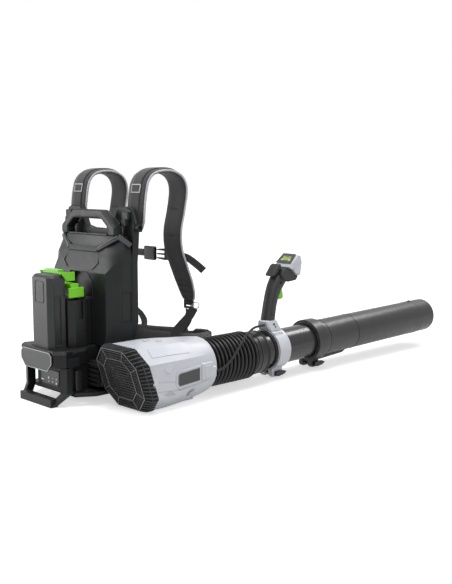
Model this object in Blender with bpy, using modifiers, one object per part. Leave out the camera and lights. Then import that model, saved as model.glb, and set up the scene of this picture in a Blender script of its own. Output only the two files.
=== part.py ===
"""Backpack leaf blower with one fitted battery, a flexible hose and a telescoping nozzle.

Metres, +Z up. X = 0 is the pack's centre plane and +X the wearer's right, +Y the wearer's
forward, Z = 0 the ground. The blower line is modelled about its own axis and then placed.
"""

import math

import bmesh
import bpy
from mathutils import Matrix, Vector

for old in list(bpy.data.objects):
    bpy.data.objects.remove(old, do_unlink=True)

# ---------------------------------------------------------------- sizes
GAP = 0.0003                  # between pieces that touch on the real product
RUN = 0.0008                  # between pieces that slide or turn

# pack
FLAT_W = 0.118                # half width of the cover's flat rear face
SIDE_W = 0.145                # half width over the cover's sides
COVER_REAR = -0.016
COVER_FRONT = 0.050
COVER_BASE = 0.1450
COVER_TOP = 0.430
COVER_WALL = 0.0026
SHOULDER_Z = 0.335            # the rear face leans forward above this
FRAME_T = 0.0197              # back frame's thickness
BAY_W = 0.062                 # battery bay
BAY_TOP = 0.335
BAY_DEPTH = 0.020
# base
BASE_REAR = -0.150
BASE_REAR_W = 0.0755          # half width of the base's rear face, its shoulders and its waist
BASE_SIDE_W = 0.098
BASE_W = 0.072
BASE_BELLY = 0.100            # underside of the base's rear overhang
LOWER_W = 0.055
LOWER_REAR = -0.112
TRAY_Z = 0.024
TRAY_T = 0.010
FOOT_FRONT = 0.085
BAR_W = 0.073                 # bumper loop, half width
BAR_REAR = -0.160
BAR_H = 0.021
BAR_D = 0.022
# battery
BATTERY_W = 0.0465
BATTERY_REAR = -0.139
BATTERY_FRONT = -0.0903
BATTERY_TOP = 0.334
BATTERY_CHAMFER = 0.013
WELL_FLOOR = 0.115
WELL_CLEAR = 0.001
PORT_W = 0.066
PORT_TOP = 0.267
PORT_CHAMFER = 0.014
RAIL_X = 0.034                # battery rails
RAIL_W = 0.011
RAIL_D = 0.009
# carry handle
CARRY_REAR = 0.012
CARRY_D = 0.028
CARRY_TOP = 0.497
CARRY_T = 0.024
# blower line
AXIS_X = 0.220
AXIS_Z = 0.083
TUBE_RISE = 1.15              # degrees, taken up by the hose
SWING_Y = 0.262               # where the hose yields sideways
TILT_Y = 0.345                # where the hose yields up and down
FAN_W = 0.088                 # fan housing, half width and half height behind
FAN_H = 0.0815
FAN_FRONT = 0.212
FAN_WALL = 0.003
MOUTH_R = 0.0745              # round front edge of the housing
DUCT_R = 0.0625
DUCT_WALL = 0.0028
OUTLET_R = 0.0545
ROTOR_Y = 0.018
ROTOR_LEN = 0.036
ROTOR_TIP = 0.0012
HUB_R = 0.030
BLADES = 11
VANES = 8
CAN_WALL = 0.0024
SHAFT_R = 0.004
GRILLE_W = 0.079              # intake octagon, half width
GRILLE_LEAN = 18.0            # degrees, top rearward
RIM_W = 0.091
RIM_H = 0.0820
HOSE_BORE = 0.0545
HOSE_ROOT = 0.0585
HOSE_CREST = 0.0680
HOSE_PITCH = 0.0145
HOSE_RIBS = 12
CUFF_R = 0.061
CUFF_LEN = 0.050
TUBE_R = 0.0515
TUBE_WALL = 0.0024
TUBE_START = 0.400
TUBE_END = 0.795
CLAMP_Y = 0.472
CLAMP_LEN = 0.050
CLAMP_R = 0.0595
EAR_T = 0.0140
EAR_DROP = 0.020
PIN_R = 0.0032
NOZZLE_START = 0.646
NOZZLE_END = 1.272
NOZZLE_R = 0.0548
NOZZLE_WALL = 0.0024
COLLAR_R = 0.0625
HEAD_W = 0.031
STRAP_X = 0.130
STRAP_W = 0.070
STRAP_T = 0.013
WEB_T = 0.0022
CHEST_Z = 0.368               # height of the chest strap
CHEST_Y = 0.2290              # middle of the chest strap's webbing at its buckle
ON_STRAP_Y = 0.2208           # and where it lies on the shoulder straps

STEPS = 40
COLLECTION = bpy.context.scene.collection
CUTTERS = bpy.data.collections.new("cutters")
COLLECTION.children.link(CUTTERS)
MATERIALS = {}


# ---------------------------------------------------------------- helpers
def material(name, rgb, rough=0.5, metal=0.0):
    m = bpy.data.materials.new(name)
    m.use_nodes = True
    shader = m.node_tree.nodes["Principled BSDF"]
    shader.inputs["Base Color"].default_value = (*rgb, 1.0)
    shader.inputs["Roughness"].default_value = rough
    shader.inputs["Metallic"].default_value = metal
    m.diffuse_color = (*rgb, 1.0)
    MATERIALS[name] = m
    return m


def add(name, mesh, mat, parent=None):
    obj = bpy.data.objects.new(name, mesh)
    COLLECTION.objects.link(obj)
    colours = {
        "black": ((0.018, 0.018, 0.020), 0.45, 0), "charcoal": ((0.06, 0.06, 0.065), 0.5, 0),
        "grey": ((0.22, 0.22, 0.23), 0.5, 0), "white": ((0.62, 0.63, 0.68), 0.4, 0),
        "green": ((0.22, 0.60, 0.03), 0.4, 0), "steel": ((0.55, 0.55, 0.56), 0.3, 1),
        "copper": ((0.55, 0.25, 0.10), 0.4, 1), "rubber": ((0.02, 0.02, 0.02), 0.7, 0),
        "fabric": ((0.03, 0.03, 0.033), 0.9, 0), "screen": ((0.35, 0.42, 0.10), 0.2, 0),
        "silver": ((0.35, 0.35, 0.36), 0.4, 0.6), "board": ((0.02, 0.16, 0.07), 0.5, 0),
    }
    key = name + "_finish"
    mesh.materials.append(material(key, *colours[mat]))
    if parent is not None:
        obj.parent = parent
    return obj


def to_mesh(name, bm):
    bmesh.ops.remove_doubles(bm, verts=bm.verts, dist=1e-6)
    bmesh.ops.recalc_face_normals(bm, faces=bm.faces)
    mesh = bpy.data.meshes.new(name)
    bm.to_mesh(mesh)
    bm.free()
    return mesh


def skin(name, mat, rings, closed=False, parent=None):
    """Walls between rings of equal count, with flat ends, or joined end to start."""
    bm = bmesh.new()
    rows = [[bm.verts.new(p) for p in ring] for ring in rings]
    n = len(rows[0])
    count = len(rows)
    for i in range(count if closed else count - 1):
        a, b = rows[i], rows[(i + 1) % count]
        for j in range(n):
            k = (j + 1) % n
            bm.faces.new((a[j], a[k], b[k], b[j]))
    if not closed:
        bm.faces.new(rows[0][::-1])
        bm.faces.new(rows[-1])
    return add(name, to_mesh(name, bm), mat, parent)


def prism(name, mat, outline, axis, low, high, parent=None):
    """A flat outline pushed along an axis. The outline's pairs follow X, Y, Z order."""
    def point(a, b, c):
        return {"x": (c, a, b), "y": (a, c, b), "z": (a, b, c)}[axis]
    rings = [[point(a, b, c) for a, b in outline] for c in (low, high)]
    return skin(name, mat, rings, parent=parent)


def box(name, mat, low, high, parent=None):
    (x0, y0, z0), (x1, y1, z1) = low, high
    return prism(name, mat, [(x0, y0), (x1, y0), (x1, y1), (x0, y1)], "z", z0, z1, parent)


def cylinder(name, mat, centre, axis, radius, low, high, steps=24, parent=None):
    ring = [(centre[0] + radius * math.cos(2 * math.pi * i / steps),
             centre[1] + radius * math.sin(2 * math.pi * i / steps)) for i in range(steps)]
    return prism(name, mat, ring, axis, low, high, parent)


def lathe(name, mat, profile, steps=STEPS, parent=None, where=(0.0, 0.0, 0.0), phase=0.0):
    """A closed profile of (radius, station) turned about the Y axis."""
    mesh = bpy.data.meshes.new(name)
    points = [(r, 0.0, s) for r, s in profile]
    pairs = [(i, (i + 1) % len(points)) for i in range(len(points))]
    edges = [(i, j) for i, j in pairs if points[i][0] > 0 or points[j][0] > 0]
    mesh.from_pydata(points, edges, [])
    obj = add(name, mesh, mat, parent)
    obj.rotation_euler = (-math.pi / 2, phase, 0.0)
    obj.location = where
    turn = obj.modifiers.new("turn", "SCREW")
    turn.axis = "Z"
    turn.angle = 2 * math.pi
    turn.steps = steps
    turn.render_steps = steps
    turn.use_merge_vertices = True
    turn.merge_threshold = 0.00001
    turn.use_normal_calculate = False
    return obj


def apply(obj):
    """Replaces an object's modifiers by the mesh they make."""
    graph = bpy.context.evaluated_depsgraph_get()
    mesh = bpy.data.meshes.new_from_object(obj.evaluated_get(graph))
    obj.modifiers.clear()
    obj.data = mesh
    return obj


def cutter(obj):
    for c in list(obj.users_collection):
        c.objects.unlink(obj)
    CUTTERS.objects.link(obj)
    obj.hide_render = True
    obj.display_type = "WIRE"
    return obj


def combine(obj, tool, how="DIFFERENCE"):
    m = obj.modifiers.new("cut", "BOOLEAN")
    m.operation = how
    m.solver = "EXACT"
    m.object = tool
    bpy.context.view_layer.update()
    apply(obj)
    bpy.data.objects.remove(tool, do_unlink=True)
    return obj


def bevel(obj, width, segments=1, angle=35):
    m = obj.modifiers.new("bevel", "BEVEL")
    m.width = width
    m.segments = segments
    m.limit_method = "ANGLE"
    m.angle_limit = math.radians(angle)
    return obj


def octagon(width, height, cut_x, cut_z):
    """Corner points of an octagon about 0, 0, counter-clockwise from the lower right."""
    w, h = width, height
    return [(w, -h + cut_z), (w, h - cut_z), (w - cut_x, h), (-w + cut_x, h),
            (-w, h - cut_z), (-w, -h + cut_z), (-w + cut_x, -h), (w - cut_x, -h)]


def divided(points, parts=4):
    """A closed outline with each of its sides cut into equal parts."""
    out = []
    for i, (x0, z0) in enumerate(points):
        x1, z1 = points[(i + 1) % len(points)]
        out += [(x0 + (x1 - x0) * k / parts, z0 + (z1 - z0) * k / parts) for k in range(parts)]
    return out


def mirrored(points):
    """A right half outline, bottom to top, closed by its mirror image."""
    return points + [(-x, z) for x, z in reversed(points)]


def ribbon(name, mat, path, widths, thicks, crown=0.0, parent=None, across=None):
    """A strap along 3-D points: width across, thickness along the turning normal."""
    pts = [Vector(p) for p in path]
    rings = []
    for i, p in enumerate(pts):
        a = pts[max(i - 1, 0)]
        b = pts[min(i + 1, len(pts) - 1)]
        t = (b - a).normalized()
        s = Vector(across[i] if across else (1, 0, 0))
        s = (s - t * s.dot(t)).normalized()
        n = t.cross(s)
        w, h = widths[i] / 2, thicks[i] / 2
        c = h * crown
        rings.append([tuple(p + s * u + n * v) for u, v in (
            (-w, -h * 0.35), (-w * 0.86, -h), (0, -h - c), (w * 0.86, -h), (w, -h * 0.35),
            (w, h * 0.35), (w * 0.86, h), (0, h + c), (-w * 0.86, h), (-w, h * 0.35))])
    return skin(name, mat, rings, parent=parent)


def spline(points, per_span=6):
    """Points of a smooth curve through the given points."""
    pts = [Vector(p) for p in points]
    ext = [2 * pts[0] - pts[1]] + pts + [2 * pts[-1] - pts[-2]]
    out = []
    for i in range(1, len(ext) - 2):
        p0, p1, p2, p3 = ext[i - 1:i + 3]
        for k in range(per_span):
            t = k / per_span
            out.append(0.5 * ((2 * p1) + (p2 - p0) * t + (2 * p0 - 5 * p1 + 4 * p2 - p3) * t * t
                              + (3 * p1 - p0 - 3 * p2 + p3) * t ** 3))
    out.append(pts[-1])
    return out


def even(values, count):
    """Values spread over a longer list by straight lines."""
    out = []
    for i in range(count):
        t = i / (count - 1) * (len(values) - 1)
        k = min(int(t), len(values) - 2)
        out.append(values[k] + (values[k + 1] - values[k]) * (t - k))
    return out


def bake(obj):
    """Modifiers and placing written into the mesh, so that world and own axes agree."""
    bpy.context.view_layer.update()
    apply(obj)
    obj.data.transform(obj.matrix_world)
    obj.matrix_world = Matrix.Identity(4)
    return obj


def union(first, *others):
    for other in others:
        combine(first, other, "UNION")
    return first


def cut(obj, *tools):
    for tool in tools:
        combine(obj, cutter(tool))
    return obj


def merge_tools(name, tools):
    """Separate closed cutters gathered into one object."""
    bm = bmesh.new()
    for t in tools:
        bm.from_mesh(t.data)
        bpy.data.objects.remove(t, do_unlink=True)
    mesh = bpy.data.meshes.new(name)
    bm.to_mesh(mesh)
    bm.free()
    obj = bpy.data.objects.new(name, mesh)
    COLLECTION.objects.link(obj)
    return obj


def seat(obj, origin, parent=None):
    """Moves the object's own origin to a point, such as one on its joint's axis."""
    obj.data.transform(Matrix.Translation(-Vector(origin)))
    obj.location = Vector(origin)
    if parent is not None:
        obj.location = Vector(origin) - Vector(PIVOT)
        obj.parent = parent
    return obj


PIVOT = (AXIS_X, TILT_Y, AXIS_Z)
line = bpy.data.objects.new("blower_line", None)
COLLECTION.objects.link(line)
line.location = PIVOT
line.rotation_euler = (math.radians(TUBE_RISE), 0.0, 0.0)
CENTRE = (AXIS_X, AXIS_Z)


def on_line(y, z):
    """A world place in the blower's centre plane, in the line's own level axes."""
    c, s = math.cos(math.radians(TUBE_RISE)), math.sin(math.radians(TUBE_RISE))
    dy, dz = y - TILT_Y, z - AXIS_Z
    return (TILT_Y + c * dy + s * dz, AXIS_Z - s * dy + c * dz)


def ring_at(points, y, lean=0.0):
    """Outline pairs about the blower's axis, set at a station that may lean back at its top."""
    k = math.tan(math.radians(lean))
    return [(AXIS_X + x, y - k * z, AXIS_Z + z) for x, z in points]


# ---------------------------------------------------------------- base
half = [(0.102, -0.1055), (0.130, -0.058), (0.130, COVER_FRONT)]
tray = prism("base_tray", "black", mirrored(half), "z", TRAY_Z, TRAY_Z + TRAY_T)
feet = box("front_foot", "black", (-0.100, FOOT_FRONT - 0.025, 0), (0.100, FOOT_FRONT, TRAY_Z + 0.002))
neck = box("foot_neck", "black", (-0.100, COVER_FRONT - 0.004, TRAY_Z), (0.100, FOOT_FRONT, TRAY_Z + TRAY_T))
keel = box("keel", "black", (-0.025, -0.020, 0), (0.025, FOOT_FRONT - 0.010, TRAY_Z + 0.002))
union(tray, neck, feet, keel)
cut(tray, *[box("slot", "black", (s * 0.088 - 0.005, -0.075, 0.01), (s * 0.088 + 0.005, -0.057, 0.05))
            for s in (-1, 1)])

upper = [(BASE_REAR_W, BASE_REAR), (BASE_SIDE_W, -0.127), (0.080, -0.050), (BASE_W, -0.047),
         (BASE_W, 0.006), (FLAT_W, 0.020), (FLAT_W, COVER_FRONT)]
lower = [(LOWER_W - 0.0005, LOWER_REAR), (LOWER_W - 0.0005, -0.102), (BASE_W, -0.085),
         (BASE_W, 0.006), (FLAT_W, 0.020), (FLAT_W, COVER_FRONT)]
base = prism("base_housing", "black", mirrored(upper), "z", BASE_BELLY, COVER_BASE - GAP)
bevel(base, 0.003)
bake(base)
belly = prism("belly", "black", mirrored(lower), "z", TRAY_Z + TRAY_T + GAP, BASE_BELLY + 0.002)
union(base, belly)
well = box("well", "black", (-BATTERY_W - WELL_CLEAR, BATTERY_REAR - WELL_CLEAR, WELL_FLOOR),
           (BATTERY_W + WELL_CLEAR, BATTERY_FRONT + WELL_CLEAR, COVER_BASE + 0.01))
bay = box("electronics_bay", "black", (-0.045, -0.060, 0.02), (0.045, 0.035, 0.080))
cut(base, well, bay)

plate = prism("label_plate", "silver", mirrored([(0.052, 0.0905), (0.0715, 0.1110), (0.0715, 0.1300),
                                                   (0.061, 0.1405)]),
              "y", BASE_REAR - 0.0040, BASE_REAR - GAP)
bevel(plate, 0.0012)
panel = prism("control_panel", "charcoal", mirrored([(0.036, 0.042), (0.044, 0.050), (0.044, 0.083)]),
              "y", LOWER_REAR - 0.0024, LOWER_REAR - GAP)
board = box("motor_controller", "grey", (-0.040, -0.055, TRAY_Z + TRAY_T + GAP), (0.040, 0.030, 0.060))
fins = merge_tools("fins", [box("fin", "grey", (-0.041 + 0.0091 * i, -0.060, 0.050),
                                (-0.037 + 0.0091 * i, 0.040, 0.070)) for i in range(1, 9)])
cut(board, fins)

on_bar = [(0.054, BAR_REAR + 0.001), (BAR_W - 0.001, BAR_REAR + 0.001), (BAR_W - 0.001, BAR_REAR + 0.020),
          (0.054, BAR_REAR + 0.020)]
upright_plan = [(0.077, -0.1335), (BASE_SIDE_W, -0.126), (BASE_SIDE_W, -0.109), (0.077, -0.109)]
bar = box("bumper_loop", "black", (-BAR_W, BAR_REAR, 0.0), (BAR_W, BAR_REAR + BAR_D, BAR_H))
for s in (-1, 1):
    union(bar, skin("arm", "black", [[(s * x, y, z) for x, y in plan] for plan, z in (
        (on_bar, 0.001), (upright_plan, 0.034), (upright_plan, BASE_BELLY - GAP))]))
bevel(bar, 0.0035, 1, 50)

# ---------------------------------------------------------------- battery and its port
mast_outline = [(PORT_W - PORT_CHAMFER, -0.0885), (PORT_W, -0.0885 + PORT_CHAMFER), (PORT_W, -0.040),
                (PORT_W - 0.010, -0.035), (PORT_W - 0.010, COVER_REAR + BAY_DEPTH - GAP)]
port = prism("battery_port", "charcoal", mirrored(mast_outline), "z", COVER_BASE, PORT_TOP)
boss = box("latch_boss", "charcoal", (-0.0530, -0.056, PORT_TOP - 0.002), (0.0530, -0.034, 0.292))
union(port, boss)
groove = 0.0009
cut(port, *[box("groove", "black", (s * RAIL_X - RAIL_W / 2 - groove, -0.095, 0.150),
                (s * RAIL_X + RAIL_W / 2 + groove, BATTERY_FRONT + RAIL_D + groove, 0.30))
            for s in (-1, 1)])
cut(port, box("contact_slot", "black", (-0.0180, -0.095, 0.1550), (0.0180, -0.0750, 0.1950)))
cut(port, *[box("side_slot", "black", (s * 0.067 - 0.007, -0.0635, 0.217),
                (s * 0.067 + 0.007, -0.050, 0.2645)) for s in (-1, 1)])
contacts = box("terminal_block", "grey", (-0.0165, -0.0870, 0.1553), (0.0165, -0.0753, 0.1850))
cut(contacts, *[box("gap", "grey", (x - 0.0022, -0.095, 0.165), (x + 0.0022, -0.0790, 0.20))
                for x in (-0.0095, 0, 0.0095)])

case = [(BATTERY_W - BATTERY_CHAMFER, BATTERY_REAR), (BATTERY_W, BATTERY_REAR + BATTERY_CHAMFER),
        (BATTERY_W, BATTERY_FRONT)]
battery = skin("battery", "charcoal", [[(x * k, BATTERY_FRONT + (y - BATTERY_FRONT) * j, z) for x, y in mirrored(case)]
                                       for z, k, j in ((WELL_FLOOR + GAP, 1, 1), (BATTERY_TOP - 0.008, 1, 1),
                                                       (BATTERY_TOP, 0.87, 0.87))])
bevel(battery, 0.002, 2, 40)
bake(battery)
for s in (-1, 1):
    union(battery, box("rail", "charcoal", (s * RAIL_X - RAIL_W / 2, BATTERY_FRONT - 0.002, 0.160),
                       (s * RAIL_X + RAIL_W / 2, BATTERY_FRONT + RAIL_D, 0.262)))
cut(battery, *[box("grip_channel", "black", (s * 0.0495 - 0.007, -0.1225, 0.152),
                   (s * 0.0495 + 0.007, -0.1040, 0.275)) for s in (-1, 1)])
seat(battery, (0, BATTERY_FRONT, WELL_FLOOR + GAP))

BAIL_PIVOT = (0.0, -0.070, 0.3225)
tab = [(-0.106, 0.3400), (-0.0640, 0.3400), (-0.0640, 0.3170), (-0.0885, 0.3170)]
bail = box("battery_bail", "green", (-BATTERY_W - 0.0055, -0.100, BATTERY_TOP + GAP),
           (BATTERY_W + 0.0055, -0.085, 0.3385))
union(bail, box("hump", "green", (-0.030, -0.101, BATTERY_TOP + GAP + 0.001), (0.030, -0.0845, 0.3455)))
for s in (-1, 1):
    low, high = sorted((s * (BATTERY_W + GAP), s * (BATTERY_W + 0.0055)))
    union(bail, prism("tab", "green", tab, "x", low, high))
bevel(bail, 0.0015)
seat(bail, BAIL_PIVOT)

LATCH_PIVOT = (0.0, -0.045, 0.278)
latch = box("release_latch", "green", (-0.0555, -0.0795, 0.2970), (0.0555, -0.055, 0.3090))
for s in (-1, 1):
    low, high = sorted((s * 0.0534, s * 0.0610))
    union(latch, box("side", "green", (low, -0.0880, 0.2735), (high, -0.0425, 0.2990)))
bevel(latch, 0.0015)
seat(latch, LATCH_PIVOT)

# ---------------------------------------------------------------- pack cover, frame and handle


def cover_ring(z, rear, flat, side, chamfer_y, front, inset=0.0):
    a, b = flat - inset * 0.5, side - inset
    r, c = rear + inset, chamfer_y + inset * 0.4
    right = [(a * 0.5, r), (a, r), (b, c), (b, front)]
    return [(x, y, z) for x, y in mirrored(right)]


STAGES = [(COVER_BASE, COVER_REAR, FLAT_W - 0.004, SIDE_W - 0.006, 0.012, COVER_FRONT),
          (0.200, COVER_REAR, FLAT_W, SIDE_W, 0.012, COVER_FRONT),
          (SHOULDER_Z, COVER_REAR, FLAT_W, SIDE_W, 0.012, COVER_FRONT),
          (0.378, -0.004, FLAT_W - 0.012, SIDE_W, 0.016, COVER_FRONT),
          (0.402, 0.008, FLAT_W - 0.030, SIDE_W - 0.003, 0.026, COVER_FRONT),
          (COVER_TOP, 0.010, FLAT_W - 0.038, SIDE_W - 0.018, 0.030, COVER_FRONT)]
cover = skin("pack_cover", "black", [cover_ring(*s) for s in STAGES])
inner = []
for i, (z, rear, flat, side, cy, front) in enumerate(STAGES):
    z = z - 0.01 if i == 0 else (z - COVER_WALL if i == len(STAGES) - 1 else z)
    inner.append(cover_ring(z, rear, flat, side, cy, front + 0.01, COVER_WALL))
hollow = skin("hollow", "black", inner)
bay_half = [(BAY_W, 0.130), (BAY_W, BAY_TOP - 0.024), (0.037, BAY_TOP)]
wall = prism("bay_wall", "black", mirrored([(x + COVER_WALL, z + COVER_WALL) for x, z in bay_half]),
             "y", COVER_REAR - 0.02, COVER_REAR + BAY_DEPTH + COVER_WALL)
cut(hollow, wall)
cut(cover, hollow)
cut(cover, prism("bay_cut", "black", mirrored(bay_half), "y", COVER_REAR - 0.02, COVER_REAR + BAY_DEPTH))
cut(cover, *[box("side_step", "black", (s * (SIDE_W + 0.004) - 0.0055, 0.018, 0.205),
                 (s * (SIDE_W + 0.004) + 0.0055, 0.046, 0.285)) for s in (-1, 1)])

FRAME_REAR = COVER_FRONT + GAP
FRAME_FRONT = FRAME_REAR + FRAME_T
frame_half = [(0.110, TRAY_Z + TRAY_T + GAP), (0.118, 0.060), (0.127, 0.145), (SIDE_W, 0.205),
              (SIDE_W, 0.360), (0.150, 0.405), (0.155, 0.460), (0.142, 0.497), (0.120, 0.505),
              (0.085, 0.503), (0.074, 0.480), (0.060, 0.452), (0.030, 0.446)]
frame = prism("back_frame", "charcoal", mirrored(frame_half), "y", FRAME_REAR, FRAME_FRONT)
for s in (-1, 1):
    hole = [(s * 0.092, 0.455), (s * 0.112, 0.455), (s * 0.106, 0.474)]
    cut(frame, prism("ear_hole", "black", hole, "y", FRAME_REAR - 0.01, FRAME_FRONT + 0.01))
cut(frame, prism("window", "black", mirrored([(0.060, 0.215), (0.085, 0.245), (0.085, 0.345), (0.060, 0.375)]),
                 "y", FRAME_REAR - 0.01, FRAME_REAR + FRAME_T - 0.004))
bevel(frame, 0.002, 1, 50)

z0 = COVER_TOP + GAP
outer = [(0.121, z0), (0.121, 0.453), (0.064, CARRY_TOP), (-0.064, CARRY_TOP), (-0.121, 0.453),
         (-0.121, z0)]
inner = [(-0.090, z0), (-0.092, 0.449), (-0.062, CARRY_TOP - CARRY_T), (0.062, CARRY_TOP - CARRY_T),
         (0.092, 0.449), (0.090, z0)]
carry = prism("carry_handle", "black", outer + inner, "y", CARRY_REAR, CARRY_REAR + CARRY_D)
bevel(carry, 0.005, 2, 30)

# ---------------------------------------------------------------- blower: housing, duct, fan
def blend_ring(w, h, cut_corner, roundness, scale=0.0):
    """An octagon that turns into a circle as roundness goes from 0 to 1."""
    out = []
    for x, z in divided(octagon(w, h, cut_corner, cut_corner)):
        r = math.hypot(x, z)
        want = r + (min(w, h) - r) * roundness - scale
        out.append((x / r * want, z / r * want))
    return out


FAN_STAGES = [(-0.0150, FAN_W, FAN_H, 0.038, 0.0, GRILLE_LEAN), (0.048, FAN_W, FAN_H, 0.038, 0.0, 0),
              (0.100, 0.0865, 0.0818, 0.038, 0.25, 0), (0.145, 0.0835, 0.0802, 0.036, 0.5, 0),
              (0.185, 0.0785, 0.0780, 0.034, 0.8, 0), (FAN_FRONT - 0.006, 0.0757, 0.0757, 0.033, 1.0, 0),
              (FAN_FRONT, MOUTH_R - 0.001, MOUTH_R - 0.001, 0.033, 1.0, 0)]
outside = [ring_at(blend_ring(w, h, c, k), y, lean) for y, w, h, c, k, lean in FAN_STAGES]
inside = [ring_at(blend_ring(w, h, c, k, FAN_WALL), y, lean) for y, w, h, c, k, lean in FAN_STAGES]
housing = skin("fan_housing", "white", outside + inside[::-1], closed=True)
lug = box("cable_lug", "white", (AXIS_X + 0.0750, 0.150, 0.064), (AXIS_X + 0.0860, 0.2000, 0.092))
foot = box("housing_foot", "white", (AXIS_X - 0.030, 0.120, 0.0), (AXIS_X + 0.030, 0.165, 0.0062))
union(housing, bevel(lug, 0.002), foot)

rim_out = [(-0.0153, RIM_W, RIM_H), (-0.0330, RIM_W, RIM_H), (-0.0500, 0.0805, 0.0775)]
rim_in = [(-0.0500, 0.0745, 0.0715), (-0.0440, 0.0745, 0.0715), (-0.0153, 0.0825, 0.0770)]
rim = skin("intake_rim", "black",
           [ring_at(blend_ring(w, h, 0.038, 0.0), y, GRILLE_LEAN) for y, w, h in rim_out + rim_in],
           closed=True)

windows = []
for i in range(8):
    a = math.radians(45 * i + 22.5)
    b = math.radians(45 * i + 67.5)
    for r0, r1, bar_w in ((0.0205, 0.0450, 0.0022), (0.0500, 0.0690, 0.0022)):
        quad = []
        for ang, r, side in ((a, r0, 1), (a, r1, 1), (b, r1, -1), (b, r0, -1)):
            rr = r / math.cos(math.radians(22.5)) * 0.98
            quad.append((rr * math.cos(ang) - side * bar_w * math.sin(ang),
                         rr * math.sin(ang) + side * bar_w * math.cos(ang)))
        windows.append(prism("window", "black", quad, "y", -0.02, 0.02))
grille = prism("intake_grille", "black", blend_ring(0.0745 - GAP, 0.0715 - GAP, 0.038, 0.0), "y", 0.0, 0.003)
cut(grille, merge_tools("windows", windows))
for v in grille.data.vertices:
    v.co.y -= math.tan(math.radians(GRILLE_LEAN)) * v.co.z
grille.location = (AXIS_X, -0.0495, AXIS_Z)

duct = lathe("fan_duct", "grey", [
    (DUCT_R, 0.0), (DUCT_R, 0.130), (OUTLET_R, 0.175), (OUTLET_R, 0.2047), (OUTLET_R + 0.0024, 0.2047),
    (OUTLET_R + 0.0024, 0.1915),
    (0.0732, 0.1915), (0.0732, 0.1890), (OUTLET_R + 0.0024, 0.1890), (OUTLET_R + 0.0024, 0.176),
    (DUCT_R + DUCT_WALL, 0.132), (DUCT_R + DUCT_WALL, 0.002),
    (0.0715, -0.0040), (0.0715, -0.0065), (0.0680, -0.0065)], where=(AXIS_X, 0, AXIS_Z))
bake(duct)
can = lathe("motor_can", "grey", [
    (SHAFT_R + 0.0001, 0.132), (SHAFT_R + 0.0001, 0.1165), (HUB_R - CAN_WALL, 0.1165), (HUB_R - CAN_WALL, 0.0585),
    (HUB_R, 0.0585), (HUB_R, 0.135), (0.022, 0.160), (0.010, 0.178), (SHAFT_R + 0.0001, 0.180)][::-1],
    where=(AXIS_X, 0, AXIS_Z))
bake(can)


def blade(name, r0, r1, steps, camber, thick, turn):
    """One blade from root to tip: camber gives (station, angle at root, angle at tip) in degrees."""
    rings = []
    for i in range(steps + 1):
        t = i / steps
        r = r0 + (r1 - r0) * t
        up, down = [], []
        for y, root, tip in camber:
            a = math.radians(turn + root + (tip - root) * t)
            da = thick / 2 / r
            up.append((AXIS_X + r * math.cos(a + da), y, AXIS_Z + r * math.sin(a + da)))
            down.append((AXIS_X + r * math.cos(a - da), y, AXIS_Z + r * math.sin(a - da)))
        rings.append(up + down[::-1])
    return skin(name, "grey", rings)


for i in range(VANES):
    union(can, blade("vane", HUB_R - 0.001, DUCT_R + 0.001, 2,
                     [(0.064, 16, 12), (0.078, 6, 5), (0.092, 1, 1), (0.112, 0, 0)], 0.0022, 360 / VANES * i))
union(duct, can)

stator = lathe("motor_stator", "copper", [
    (0.0165, 0.0620), (0.0165, 0.1120), (HUB_R - CAN_WALL - GAP, 0.1120), (HUB_R - CAN_WALL - GAP, 0.0620)],
    steps=24, where=(AXIS_X, 0, AXIS_Z))
shaft = lathe("motor_shaft", "steel", [
    (0.0, 0.0300), (0.0, 0.1290), (SHAFT_R, 0.1290), (SHAFT_R, 0.1100), (0.0158, 0.1100), (0.0158, 0.0640),
    (SHAFT_R, 0.0640), (SHAFT_R, 0.0300)], steps=24, where=(AXIS_X, 0, AXIS_Z))

rotor = lathe("fan_rotor", "charcoal", [
    (0.0, 0.0020), (0.0, 0.0297), (SHAFT_R + GAP, 0.0297), (SHAFT_R + GAP, 0.0540), (HUB_R, 0.0540),
    (HUB_R, 0.0180), (0.0270, 0.0090), (0.0180, 0.0035)], where=(AXIS_X, 0, AXIS_Z))
bake(rotor)
fan_camber = [(ROTOR_Y, -24, -15), (ROTOR_Y + ROTOR_LEN * 0.3, -11, -8), (ROTOR_Y + ROTOR_LEN * 0.65, 2, 3),
              (ROTOR_Y + ROTOR_LEN - 0.001, 12, 16)]
for i in range(BLADES):
    union(rotor, blade("blade", HUB_R - 0.0012, DUCT_R - ROTOR_TIP, 3, fan_camber, 0.0020, 360 / BLADES * i))
seat(rotor, (AXIS_X, ROTOR_Y, AXIS_Z))

# ---------------------------------------------------------------- mounting between pack and fan
ribs = []
z, step = 0.044, 0.0125
for i in range(5):
    ribs += [(-0.046, z), (-0.046, z + step * 0.55), (-0.040, z + step * 0.65), (-0.040, z + step * 0.95)]
    z += step
outline = [(0.002, 0.044)] + ribs + [(-0.040, z), (0.002, z)]
isolator = prism("isolator_block", "grey", outline, "x", BASE_W + GAP, FLAT_W + 0.0025)
bracket = prism("fan_bracket", "black", [(-0.040, 0.044), (0.048, 0.044), (0.048, 0.118), (-0.040, 0.118)],
                "x", FLAT_W + 0.0028, FLAT_W + 0.0102)
pad = prism("bracket_pad", "black", [(0.006, 0.050), (0.046, 0.050), (0.046, 0.112), (0.006, 0.112)],
            "x", FLAT_W + 0.009, AXIS_X - FAN_W - GAP)
bevel(bracket, 0.002)
union(bake(bracket), pad)

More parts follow.
